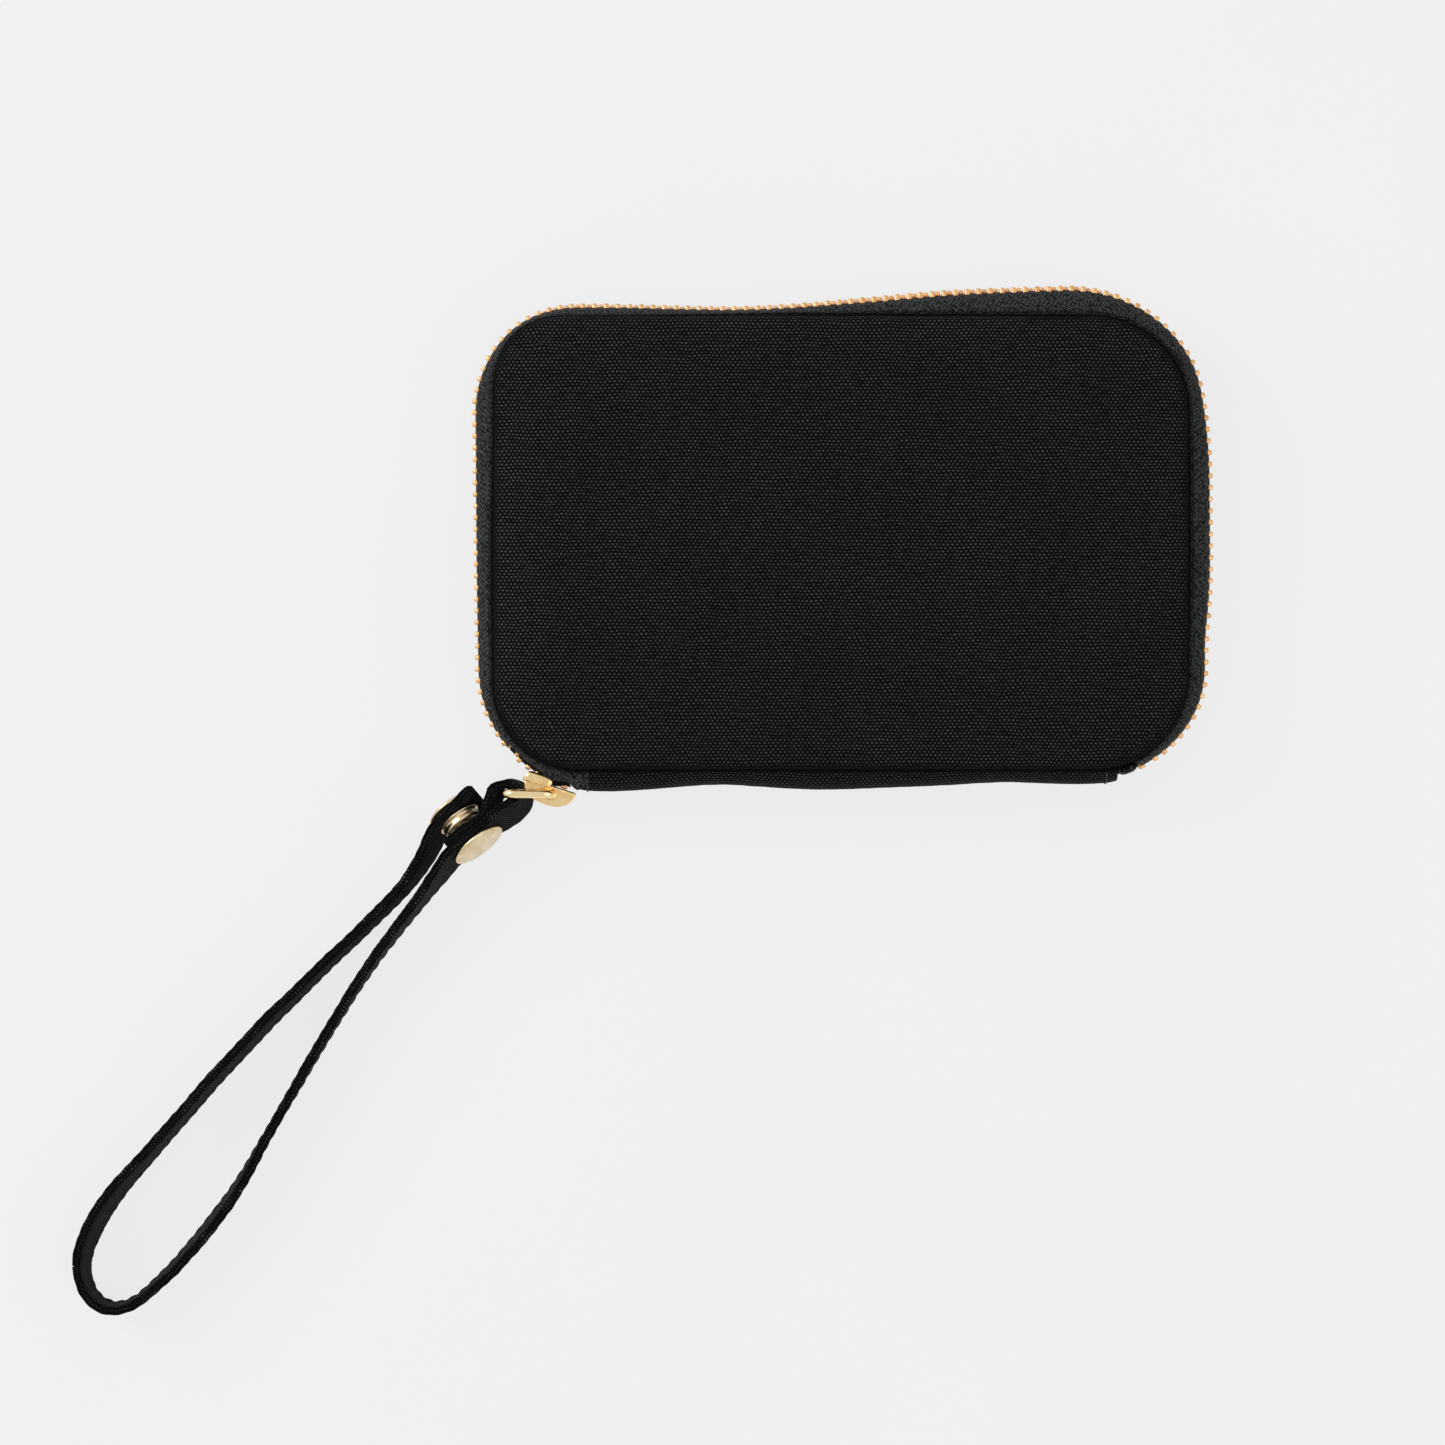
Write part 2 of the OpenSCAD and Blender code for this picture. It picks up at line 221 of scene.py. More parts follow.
def loft_faces(rows, cols, around=False, ends=True):
    """Faces between rings of `cols` points; around joins the last ring to the first."""
    faces = []
    for i in range(rows if around else rows - 1):
        for k in range(cols):
            j = (i + 1) % rows
            m = (k + 1) % cols
            faces.append((i * cols + k, i * cols + m, j * cols + m, j * cols + k))
    if ends and not around:
        faces.append(tuple(range(cols)))
        faces.append(tuple((rows - 1) * cols + k for k in range(cols - 1, -1, -1)))
    return faces


def loft(name, rings, material, flat=None, around=False, **rest):
    """One closed solid through rings of equal size, an array of ring, point, coordinate."""
    rows, cols = rings.shape[:2]
    flat = None if flat is None else flat.reshape(-1, 3)
    return piece(name, rings.reshape(-1, 3), loft_faces(rows, cols, around), material,
                 flat=flat, **rest)


def copies(points, faces, origins, axes):
    """One small shape repeated at each origin, with each origin's three axes as rows."""
    placed = origins[:, None, :] + np.einsum("pk,nkc->npc", points, axes)
    count = len(points)
    all_faces = [tuple(v + i * count for v in f) for i in range(len(origins)) for f in faces]
    return placed.reshape(-1, 3), all_faces


def unit(v):
    return v / np.linalg.norm(v, axis=-1, keepdims=True)


def stitches(name, starts, ends, normals, radius, material, **rest):
    """A row of thread stitches that dive into the cloth at both ends."""
    sides = 6
    # Share of the length, height and width, both in thread radii.
    stations = [(0, -1.2, 0.5), (0.1, 0.1, 0.85), (0.35, 0.5, 1), (0.65, 0.5, 1), (0.9, 0.1, 0.85),
                (1, -1.2, 0.5)]
    along = ends - starts
    length = np.linalg.norm(along, axis=1)
    tangent = unit(along)
    side = unit(np.cross(tangent, normals))
    up = np.cross(side, tangent)
    shape = np.array([[t, h + w * math.cos(a), w * math.sin(a)]
                      for t, h, w in stations for a in circle(sides)])
    axes = np.stack([tangent * length[:, None], up * radius, side * radius], axis=1)
    points, faces = copies(shape, loft_faces(len(stations), sides), starts, axes)
    return piece(name, points, faces, material, **rest)


# ---- materials ----
class Graph:
    """A material whose nodes are added by short calls."""

    def __init__(self, name, **sockets):
        self.material = bpy.data.materials.new(name)
        self.material.use_nodes = True
        self.tree = self.material.node_tree
        self.shader = self.tree.nodes["Principled BSDF"]
        for socket, value in sockets.items():
            self.shader.inputs[socket.replace("_", " ")].default_value = value

    def put(self, socket, value):
        if isinstance(value, bpy.types.NodeSocket):
            self.tree.links.new(value, socket)
        else:
            socket.default_value = value

    def node(self, kind, inputs=(), **settings):
        node = self.tree.nodes.new("ShaderNode" + kind)
        for key, value in settings.items():
            setattr(node, key, value)
        for key, value in dict(inputs).items():
            self.put(node.inputs[key], value)
        return node

    def math(self, operation, *values):
        node = self.node("Math", operation=operation)
        for socket, value in zip(node.inputs, values):
            self.put(socket, value)
        return node.outputs[0]

    def add(self, a, b):
        return self.math("ADD", a, b)

    def mul(self, a, b):
        return self.math("MULTIPLY", a, b)

    def cloth(self):
        """Place on the uncut cloth: along and across, in millimetres. Its third number is painted
        shade: 0 on open cloth, 1 down in a seam, where the colour is darkened towards black as if the
        fibres caught no light."""
        found = self.node("Attribute", attribute_name="cloth")
        parts = self.node("SeparateXYZ", {"Vector": found.outputs["Vector"]})
        self.shade = parts.outputs["Z"]
        return found.outputs["Vector"], parts.outputs["X"], parts.outputs["Y"]

    def place(self):
        """Place in the object, in millimetres."""
        found = self.node("TexCoord").outputs["Object"]
        scaled = self.node("VectorMath", {0: found, "Scale": 1 / MM}, operation="SCALE")
        return scaled.outputs["Vector"]

    def noise(self, vector, scale, detail=2.0, stretch=(1, 1, 1)):
        moved = self.node("Mapping", {"Vector": vector, "Scale": stretch}).outputs["Vector"]
        node = self.node("TexNoise", {"Vector": moved, "Scale": scale, "Detail": detail})
        return node.outputs["Fac"]

    def fit(self, value, low, high, to_low=0.0, to_high=1.0):
        node = self.node("MapRange", {"Value": value, "From Min": low, "From Max": high,
                                      "To Min": to_low, "To Max": to_high})
        return node.outputs["Result"]

    def wave(self, value, period, kind="COSINE"):
        return self.math(kind, self.mul(value, 2 * math.pi / period))

    def mix(self, share, low, high):
        node = self.node("Mix", {0: share, 6: (*low, 1), 7: (*high, 1)}, data_type="RGBA")
        return node.outputs[2]

    def finish(self, colour, roughness, height=None, depth=0.05, strength=1.0):
        """Colour, roughness and a bump whose full height is `depth` millimetres."""
        # Painted shade: the colour is mixed towards black by the cloth's shade number.
        if hasattr(self, "shade"):
            dimmed = self.node("Mix", {0: self.shade, 6: colour, 7: (0, 0, 0, 1)}, data_type="RGBA")
            colour = dimmed.outputs[2]
        self.put(self.shader.inputs["Base Color"], colour)
        self.put(self.shader.inputs["Roughness"], roughness)
        if height is not None:
            bump = self.node("Bump", {"Strength": strength, "Distance": depth * MM, "Height": height})
            self.put(self.shader.inputs["Normal"], bump.outputs["Normal"])
        return self.material


def canvas(name, dark, light, dot=0.97, row=0.72, depth=0.09, painted_light_bands=()):
    """Plain weave: raised dots along each row, every other row moved by half a dot.

    The last argument lists bands of painted light, where the cloth is drawn lighter as if lit more: 0 along
    or 1 across, from, to, and how much lighter."""
    g = Graph(name, Specular_IOR_Level=0.06, Sheen_Weight=0.012, Sheen_Roughness=0.5)
    vector, u, v = g.cloth()
    places = (u, v)
    drift = g.fit(g.noise(vector, 0.16, 3), 0, 1, -0.4, 0.4)
    jitter = g.fit(g.noise(vector, 0.9, 1, (0.25, 1, 1)), 0, 1, -0.12, 0.12)
    u = g.add(u, g.mul(drift, 1.3))
    v = g.add(g.add(v, drift), jitter)
    dots = g.mul(g.wave(u, dot), g.wave(v, 2 * row))
    bands = g.mul(g.wave(v, row), 0.55)
    raised = g.fit(g.add(dots, bands), -0.15, 1.4)
    fuzz = g.noise(vector, 3.2, 2)
    yarn = g.noise(vector, 0.9, 2, (0.5, 1.4, 1))
    patch = g.noise(vector, 0.05, 2)
    light_share = g.mul(raised, g.fit(yarn, 0.3, 0.7, 0.35, 1.35))
    light_share = g.mul(light_share, g.fit(patch, 0.3, 0.7, 0.85, 1.12))
    light_share = g.mul(light_share, g.fit(fuzz, 0.3, 0.7, 0.6, 1.3))
    # Painted light: each band lightens the colour towards an edge of the cover, as if it were lit more
    # there.
    for axis, start, stop, gain in painted_light_bands:
        light_share = g.mul(light_share, g.fit(places[axis], start, stop, 1.0, gain))
    height = g.add(raised, g.mul(fuzz, 0.25))
    return g.finish(g.mix(light_share, dark, light), g.fit(raised, 0, 1, 0.95, 0.75), height, depth)


def twill(name, dark, light, band=2.6, rib=0.95, depth=0.09):
    """Herringbone of a zip tape: slanting ribs that turn back at each band."""
    g = Graph(name, Specular_IOR_Level=0.08, Sheen_Weight=0.015, Sheen_Roughness=0.45)
    vector, u, v = g.cloth()
    slant = g.math("PINGPONG", v, band / 2)
    ribs = g.wave(g.add(u, g.mul(slant, 1.1)), rib, "SINE")
    picks = g.wave(v, 0.42)
    raised = g.fit(g.add(ribs, g.mul(picks, 0.45)), -1.2, 1.2)
    fuzz = g.noise(vector, 1.2, 3)
    wear = g.noise(vector, 0.22, 2)
    share = g.mul(raised, g.fit(fuzz, 0.38, 0.62, 0.1, 1.9))
    share = g.mul(share, g.fit(wear, 0.3, 0.7, 0.75, 1.15))
    height = g.add(raised, g.mul(fuzz, 0.4))
    return g.finish(g.mix(share, dark, light), g.fit(raised, 0, 1, 0.9, 0.6), height, depth)


def ribbed(name, dark, light, rib=0.5, depth=0.05):
    """Grosgrain: fine ribs across the tape."""
    g = Graph(name, Specular_IOR_Level=0.2, Sheen_Weight=0.05, Sheen_Roughness=0.45)
    vector, u, v = g.cloth()
    ribs = g.fit(g.wave(u, rib), -1, 1)
    fuzz = g.noise(vector, 4.0, 3)
    share = g.mul(ribs, g.fit(fuzz, 0.25, 0.75, 0.5, 1.2))
    height = g.add(ribs, g.mul(fuzz, 0.4))
    return g.finish(g.mix(share, dark, light), g.fit(fuzz, 0, 1, 0.9, 0.7), height, depth)


def lining_cloth(name, dark, light):
    """Smooth woven lining with a fine check of warp and weft."""
    g = Graph(name, Specular_IOR_Level=0.3, Sheen_Weight=0.08, Sheen_Roughness=0.35)
    vector, u, v = g.cloth()
    weave = g.mul(g.wave(u, 0.44), g.wave(v, 0.44))
    raised = g.fit(weave, -1, 1)
    cloud = g.noise(vector, 0.12, 3)
    share = g.mul(raised, g.fit(cloud, 0.3, 0.7, 0.6, 1.2))
    height = g.add(raised, g.mul(cloud, 3.0))
    return g.finish(g.mix(share, dark, light), g.fit(cloud, 0.3, 0.7, 0.5, 0.62), height, 0.03)


def thread(name, dark, light):
    """Twisted sewing thread."""
    g = Graph(name, Specular_IOR_Level=0.12, Sheen_Weight=0.02, Sheen_Roughness=0.4)
    vector = g.place()
    strands = g.noise(vector, 3.5, 3)
    return g.finish(g.mix(g.fit(strands, 0.3, 0.7), dark, light), g.fit(strands, 0, 1, 0.7, 0.5),
                    strands, 0.04)


def metal(name, dark, light, rough=(0.15, 0.3), grain=(1, 1, 1), depth=0.004):
    """Plated metal: soft cloudy tone, fine scratches and small dents."""
    g = Graph(name, Metallic=1.0, Coat_Weight=0.15, Coat_Roughness=0.12)
    vector = g.place()
    cloud = g.noise(vector, 0.35, 3)
    scratch = g.noise(vector, 6.0, 5, grain)
    share = g.fit(g.add(cloud, g.mul(scratch, 0.35)), 0.45, 0.85)
    height = g.add(g.mul(cloud, 4.0), scratch)
    return g.finish(g.mix(share, dark, light), g.fit(scratch, 0.3, 0.7, *rough), height, depth)


# Colours are pairs, the darkest and the lightest tone of each material.
# Painted light makes the canvas lighter towards its left, right and top edges.
CANVAS = canvas("black_canvas", (0.0012, 0.0014, 0.0014), (0.052, 0.056, 0.055), depth=0.12,
                painted_light_bands=((0, -58, -81, 1.5), (0, 68, 80, 1.12), (1, 34, 51, 1.2)))
STRAP_CLOTH = canvas("strap_canvas", (0.0015, 0.0016, 0.0017), (0.052, 0.053, 0.056), 0.82, 0.6, 0.09)
TAPE = twill("zip_tape", (0.0012, 0.0014, 0.0014), (0.05, 0.053, 0.052))
BINDING = ribbed("seam_binding", (0.004, 0.004, 0.0045), (0.03, 0.03, 0.032))
LINING = lining_cloth("lining", (0.006, 0.006, 0.0066), (0.019, 0.019, 0.0205))
THREAD = thread("black_thread", (0.003, 0.003, 0.0033), (0.022, 0.022, 0.023))
WORN_THREAD = thread("worn_thread", (0.02, 0.02, 0.021), (0.10, 0.10, 0.105))
BRASS = metal("zip_brass", (0.72, 0.38, 0.14), (1.0, 0.62, 0.31), (0.34, 0.5))
GOLD = metal("polished_gold", (0.87, 0.57, 0.22), (1.0, 0.74, 0.38), (0.16, 0.28))
# Painted light: the ring's gold is drawn lighter than the slider's, standing in for the light its top bar
# catches.
LIT_RING_GOLD = metal("ring_gold_painted_light", (0.98, 0.74, 0.38), (1.0, 0.85, 0.52), (0.1, 0.2))
CHAMPAGNE = metal("brushed_champagne", (0.62, 0.47, 0.27), (0.84, 0.69, 0.45), (0.22, 0.36),
                  (1, 1, 7))


# ---- padded covers and their linings ----
def panel_grid(cols, rows, inset):
    """A grid of points that fills the cover's outline, and the loop of indices round its rim."""
    line = outline(PANEL, inset, closed=True)
    line = resample(line, even(distances(line[:, :2])[-1], 0.5))
    across, up = (line[:, 0] - MID_X) / HALF_W, (line[:, 1] - MID_Y) / HALF_H
    bearing = np.unwrap(np.arctan2(up, across))[::-1]
    reach = np.hypot(across, up)[::-1]
    u, v = np.meshgrid(np.linspace(-1, 1, cols), np.linspace(-1, 1, rows))
    angle = bearing[0] + np.mod(np.arctan2(v, u) - bearing[0], 2 * math.pi)
    square = 1 / np.maximum(np.abs(np.cos(angle)), np.abs(np.sin(angle)))
    rim = np.interp(angle, bearing, reach) / square
    depth = np.maximum(np.abs(u), np.abs(v)) ** 6
    x = MID_X + u * HALF_W * ((1 - inset / HALF_W) * (1 - depth) + rim * depth)
    y = MID_Y + v * HALF_H * ((1 - inset / HALF_H) * (1 - depth) + rim * depth)
    index = np.arange(rows * cols).reshape(rows, cols)
    loop = [*index[0, :-1], *index[:-1, -1], *index[-1, :0:-1], *index[:0:-1, 0]]
    faces = [(index[j, i], index[j, i + 1], index[j + 1, i + 1], index[j + 1, i])
             for j in range(rows - 1) for i in range(cols - 1)]
    return np.stack([x.ravel(), y.ravel()], axis=1), loop, faces


def outward(loop_points):
    """Unit normals of a closed anticlockwise loop, in the plane."""
    ahead = np.roll(loop_points, -1, axis=0) - np.roll(loop_points, 1, axis=0)
    ahead = unit(ahead)
    return np.stack([ahead[:, 1], -ahead[:, 0]], axis=1)


def cushion(name, material, profile, cols, rows, base_z, pucker=0.0):
    """A closed panel: a flat base, a rolled rim through profile's (inset, z) rows, and a top."""
    top_inset, top_z = profile[-1]
    top, loop, faces = panel_grid(cols, rows, top_inset)
    rim = top[loop]
    normal = outward(rim)
    count = len(top)
    points = [np.column_stack([top, np.full(count, top_z)])]
    flat = [np.column_stack([top, np.zeros(count)])]
    along = distances(np.vstack([rim, rim[:1]]))[:-1]
    ring_size = len(loop)
    roll = 0.0
    rings = []
    before = profile[-1]
    for inset, z in profile[-2::-1]:
        roll += math.hypot(inset - before[0], z - before[1])
        before = (inset, z)
        ripple = pucker * np.sin(2 * math.pi * along / 5.2 + waves(along, 37, 3)) * waves(along, 60, 5)
        out = (top_inset - inset + ripple)[:, None] * normal
        points.append(np.column_stack([rim + out, np.full(ring_size, z)]))
        # Painted shade darkens the seam, with less of it where the top edge opens towards the light.
        shade = clamp((abs(z - top_z) - 0.3) / 0.75) * (0.9 + 0.08 * waves(along, 41, 9))
        shade *= 1 - 0.55 * clamp(normal[:, 1]) ** 8 * (rim[:, 0] < 40)
        flat.append(np.column_stack([rim + roll * normal, shade]))
        rings.append(count + len(rings) * ring_size)
    loops = [np.array(loop)] + [start + np.arange(ring_size) for start in rings]
    for a, b in zip(loops, loops[1:]):
        for k in range(ring_size):
            m = (k + 1) % ring_size
            faces.append((a[k], a[m], b[m], b[k]))
    base_start = rings[-1] + ring_size
    inner = np.ones(count, bool)
    inner[loop] = False
    base_index = np.empty(count, int)
    base_index[inner] = base_start + np.arange(inner.sum())
    base_index[np.array(loop)] = loops[-1]
    middle = np.array([MID_X, MID_Y])
    shrink = (HALF_W - profile[0][0]) / (HALF_W - top_inset)
    base = middle + (top[inner] - middle) * shrink
    points.append(np.column_stack([base, np.full(inner.sum(), base_z)]))
    flat.append(np.column_stack([top[inner], np.zeros(inner.sum())]))
    faces += [tuple(base_index[v] for v in reversed(f)) for f in faces[: (cols - 1) * (rows - 1)]]
    obj = piece(name, np.vstack(points), [tuple(int(v) for v in f) for f in faces], material,
                flat=np.vstack(flat))
    pinned = [int(v) for v in base_index] + [int(v) for v in loops[-1]]
    return obj, sorted(set(pinned))


def coordinates(mesh):
    found = np.empty(len(mesh.vertices) * 3)
    mesh.vertices.foreach_get("co", found)
    return found.reshape(-1, 3)


SIMULATED_FRAMES = 20


def inflate(obj, pinned, reach):
    """Lets cloth pressure fill the panel out; no point moves further than reach (mm)."""
    group = obj.vertex_groups.new(name="pin")
    group.add(pinned, 1.0, "REPLACE")
    cloth = obj.modifiers.new("cloth", "CLOTH")
    for key, value in dict(
        vertex_group_mass="pin", quality=5, mass=0.002, use_pressure=True, uniform_pressure_force=4,
        tension_stiffness=8, compression_stiffness=8, shear_stiffness=4, bending_stiffness=0.05,
    ).items():
        setattr(cloth.settings, key, value)
    cloth.settings.effector_weights.gravity = 0
    cloth.point_cache.frame_start = 1
    cloth.point_cache.frame_end = SIMULATED_FRAMES
    for step in range(1, SIMULATED_FRAMES + 1):
        scene.frame_set(step)
    swollen = obj.evaluated_get(bpy.context.evaluated_depsgraph_get())
    after = coordinates(swollen.data)
    obj.modifiers.remove(cloth)
    obj.vertex_groups.remove(group)
    scene.frame_set(1)
    before = coordinates(obj.data)
    move = after - before
    size = np.linalg.norm(move, axis=1, keepdims=True)
    limit = reach * MM
    before += move * limit / (limit + size)
    obj.data.vertices.foreach_set("co", before.ravel())
    obj.data.update()


def soften(obj, height):
    """Slow undulations of the padding, over the flat of the cover only."""
    co = coordinates(obj.data)
    x, y = co[:, 0] / MM, co[:, 1] / MM
    share = clamp((np.abs(co[:, 2] / MM - MID_Z) - 9.6) / 1.0)
    co[:, 2] += np.sign(co[:, 2] / MM - MID_Z) * height * MM * share * waves(x, 58, 11, y)
    obj.data.vertices.foreach_set("co", co.ravel())
    obj.data.update()


def subdivide(obj, levels=1):
    modifier = obj.modifiers.new("subdivision", "SUBSURF")
    modifier.levels = modifier.render_levels = levels


def mirror_front(profile):
    return [(inset, TOTAL_H - z) for inset, z in profile]


# Rolled rim of a cover from its seam to its flat, as inset and height over the table.
RIM = [(1.3, 3.9), (0.75, 3.55), (0.2, 3.0), (0.0, 2.3), (0.25, 1.5), (0.85, 0.9), (1.8, 0.55),
       (3.3, 0.4)]


def cover(side):
    profile = RIM if side == "back" else mirror_front(RIM)
    obj, pinned = cushion(side + "_cover_canvas", CANVAS, profile, 78, 52, profile[0][1], pucker=0.12)
    inflate(obj, pinned, 0.45)
    soften(obj, 0.1)
    subdivide(obj)
    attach(obj, side + "_half")
    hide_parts(side + "_cover", side + "_padding")


def lining(side):
    rows = [(0.9, 3.45), (0.75, 3.6), (0.8, 3.85), (1.0, 3.98)]
    profile = rows if side == "back" else mirror_front(rows)
    obj, _ = cushion(side + "_lining_cloth", LINING, profile, 40, 28, profile[0][1])
    subdivide(obj)
    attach(obj, side + "_half")
    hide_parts(side + "_lining")


def flip(z, side):
    return z if side == "back" else TOTAL_H - z


def binding(side):
    """Folded binding tape that hides the raw seam inside, with its row of stitches."""
    middle = PANEL_H + 0.84
    line = outline(PANEL, 2.65, closed=True)
    length = distances(line[:, :2])[-1]
    at = even(length, 1.6, closed=True)
    rows = resample(line, at)
    count = 16
    across = 0.95 * squared(np.cos(circle(count)), 0.5)
    up = 0.78 * squared(np.sin(circle(count)), 0.6)
    pinch = 0.12 * np.exp(-((across + 0.1) / 0.25) ** 2) * (up > 0)
    normal = np.array([turn(a) for a in rows[:, 2]])
    rings = np.zeros((len(rows), count, 3))
    ripple = 0.07 * waves(at, 9, 21)
    rings[..., :2] = rows[:, None, :2] + normal[:, None] * (across[:, None] + ripple[:, None, None])
    rings[..., 2] = flip(middle + up - pinch, side)
    flat = np.zeros_like(rings)
    flat[..., 0] = at[:, None]
    flat[..., 1] = np.cumsum(np.full(count, 0.35))
    obj = loft(side + "_binding_tape", rings, BINDING, flat, around=True, body=side + "_half",
               slot="binding")
    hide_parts(side + "_seam_binding")
    starts = even(length, 2.9, closed=True)
    a, b = resample(line, starts + 0.3), resample(line, starts + 2.5)
    z = np.full(len(a), flip(middle + 0.7, side))
    up_vector = np.tile([0, 0, 1.0 if side == "back" else -1.0], (len(a), 1))
    points = [np.column_stack([r[:, :2] - 0.1 * np.array([turn(t) for t in r[:, 2]]), z])
              for r in (a, b)]
    stitches(side + "_binding_stitches", *points, up_vector, 0.16, THREAD, body=side + "_half")


# ---- zip ----
SEAM_INSET = 0.9
TAPE_INSET = 1.15


def tape_rows(first, last):
    """Rows of chain x, y, seam x, y and angle where the tape runs round the corners."""
    ends = [(first, 180), (180, 90 + TOP_TILT), (90 + TOP_TILT, 0), (0, last)]
    if last > 180:
        ends = [(first, last)]
    rows = []
    for panel, chain, (a, b) in zip(PANEL, CHAIN, ends):
        for angle in np.linspace(a, b, 2 + int(abs(a - b) / 2)):
            seam = on_corner(panel, angle, SEAM_INSET)
            # Beside the slider the tape reaches out over the teeth.
            covered = 0.95 * clamp((angle - 240) / 4) * clamp((252 - angle) / 5)
            rows.append([*on_corner(chain, angle, TAPE_INSET - covered), *seam, angle])
    rows = np.array(rows)
    rows = resample(rows, even(distances(rows[:, :2])[-1], 1.0))
    sag(rows[:, :2], rows[:, 4])
    # Along the top edge the tape draws back and shows the heads of the teeth.
    x = rows[:, 0]
    shown = 0.45 * clamp(np.sin(np.radians(rows[:, 4]))) ** 6 * clamp((x + 30) / 40)
    rows[:, 1] -= shown * (1 - 0.4 * clamp((x - 20) / 20))
    return rows


# Tape from its seam (0) out to the chain (1): share of the way out, height, half thickness.
TAPE_EDGE = [(0.97, 7.6, 0.28), (1, 8.6, 0.5), (1, 9.1, 0.55), (1, 9.5, 0.3)]
TAPE_PROFILE = smooth_line([(0, 3.75, 0.25), (0.1, 4.25, 0.25), (0.35, 4.7, 0.25), (0.62, 5.4, 0.25),
                            (0.85, 6.4, 0.25), *TAPE_EDGE], 3)


def tape_points(rows, profile, side, at):
    """Outer and inner points of the tape, and its flat cloth coordinates."""
    chain, seam = rows[:, :2], rows[:, 2:4]
    width = np.linalg.norm(chain - seam, axis=1)
    out = unit(chain - seam)
    slack = 1 + 0.05 * waves(at, 46, 31)
    share = profile[:, 0]
    reach = share[None, :] * width[:, None]
    sag = np.sin(math.pi * share)[None, :] * (0.16 * waves(at, 23, 33) * slack)[:, None]
    height = np.broadcast_to(profile[:, 1], reach.shape) + sag
    step_out = np.gradient(reach, axis=1)
    step_up = np.gradient(height, axis=1)
    size = np.hypot(step_out, step_up)
    normal_out, normal_up = step_up / size, -step_out / size
    half = profile[:, 2][None, :]
    layers = []
    for sign in (1, -1):
        r = reach + sign * normal_out * half
        z = height + sign * normal_up * half
        xy = seam[:, None, :] + out[:, None, :] * r[..., None]
        layers.append(np.concatenate([xy, flip(z, side)[..., None]], axis=2))
    across = np.concatenate([np.zeros((len(rows), 1)), np.cumsum(
        np.hypot(np.diff(reach, axis=1), np.diff(height, axis=1)), axis=1)], axis=1)
    # Painted shade: the tape darkens towards black near its seam, under the rim of the cover.
    shade = 0.97 * clamp((2.5 - across) / 0.6)
    flat = np.stack([np.broadcast_to(at[:, None], across.shape), across, shade], axis=2)
    return layers, flat


def tape(name, side, line, replaced, body=None, profile=TAPE_PROFILE, stitched=True):
    length = distances(line[:, :2])[-1]
    at = even(length, 1.1)
    rows = resample(line, at)
    (outer, inner), flat = tape_points(rows, profile, side, at)
    rings = np.concatenate([outer, inner[:, ::-1]], axis=1)
    flat = np.concatenate([flat, flat[:, ::-1]], axis=1)
    obj = loft(name, rings, TAPE, flat, body=body, slot="tape")
    if replaced:
        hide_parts(replaced)
    if not stitched:
        return obj
    starts = even(length - 3, 2.75)
    ends = []
    for shift in (0.25, 2.35):
        part = resample(line, starts + shift)
        (top, _), _ = tape_points(part, profile, side, starts + shift)
        width = np.linalg.norm(part[:, :2] - part[:, 2:4], axis=1)
        share = np.clip(1.35 / width, 0, 0.6)
        rising = slice(0, 20)
        ends.append(np.array([[np.interp(s, profile[rising, 0], p[rising, k]) for k in range(3)]
                              for s, p in zip(share, top)]))
    out = unit(part[:, :2] - part[:, 2:4])
    lift = np.full(len(part), -0.96 if side == "back" else 0.96)
    stitches(name + "_stitches", *ends, unit(np.column_stack([out, lift])), 0.19, THREAD, body=body)
    return obj


def tapes():
    """Both tapes, and the front tape's last stretch, which stays by the slider as the pouch opens."""
    tape("back_tape", "back", tape_rows(CHAIN_LEFT, BACK_RIGHT), "back_zip_tape", "back_half")
    tape("front_tape", "front", tape_rows(FRONT_LEFT, FRONT_RIGHT), "front_zip_tape", "front_half")
    tail = tape_rows(CHAIN_LEFT, FRONT_LEFT)
    tail = tail[tail[:, 4] > FRONT_LEFT - 0.1]
    tail[:, 4] = np.maximum(tail[:, 4], FRONT_LEFT)
    tape("front_tape_tail", "front", tail[tail[:, 4] >= TAIL_ANGLE - 1], "front_tape_end", "back_half",
         profile=smooth_line([(0.8, 6.3, 0.25), *TAPE_EDGE], 4), stitched=False)
    # Cloth between the ends of the tapes and the ends of the spine.
    low_right, chain_right = PANEL[3], CHAIN[3]
    left_end = [[SPINE_LEFT + 2.2, BOTTOM - 3.7, SPINE_LEFT + 2.2, BOTTOM + 1.2, 264],
                [*on_corner(CHAIN[0], 259, -0.5), *on_corner(PANEL[0], 259, SEAM_INSET), 259]]
    right_end = [SPINE_RIGHT - 3.2, BOTTOM - 1.3, SPINE_RIGHT - 3.2, BOTTOM + 1.2, 278]
    right = [[*on_corner(chain_right, t, 1.6), *on_corner(low_right, t, SEAM_INSET), t]
             for t in np.linspace(-62, -72, 6)]
    inner = TAPE_PROFILE[TAPE_PROFILE[:, 0] < 0.86]
    for side in ("front", "back"):
        left = tail if side == "front" else tail[tail[:, 4] > 250]
        for name, line in (("left", np.vstack([left_end, left])), ("right", np.array(right + [right_end]))):
            flap = tape(f"{side}_{name}_tape_flap", side, line, None, profile=inner, stitched=False)
            if side == "front":
                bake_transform(flap)
            else:
                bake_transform(flap)


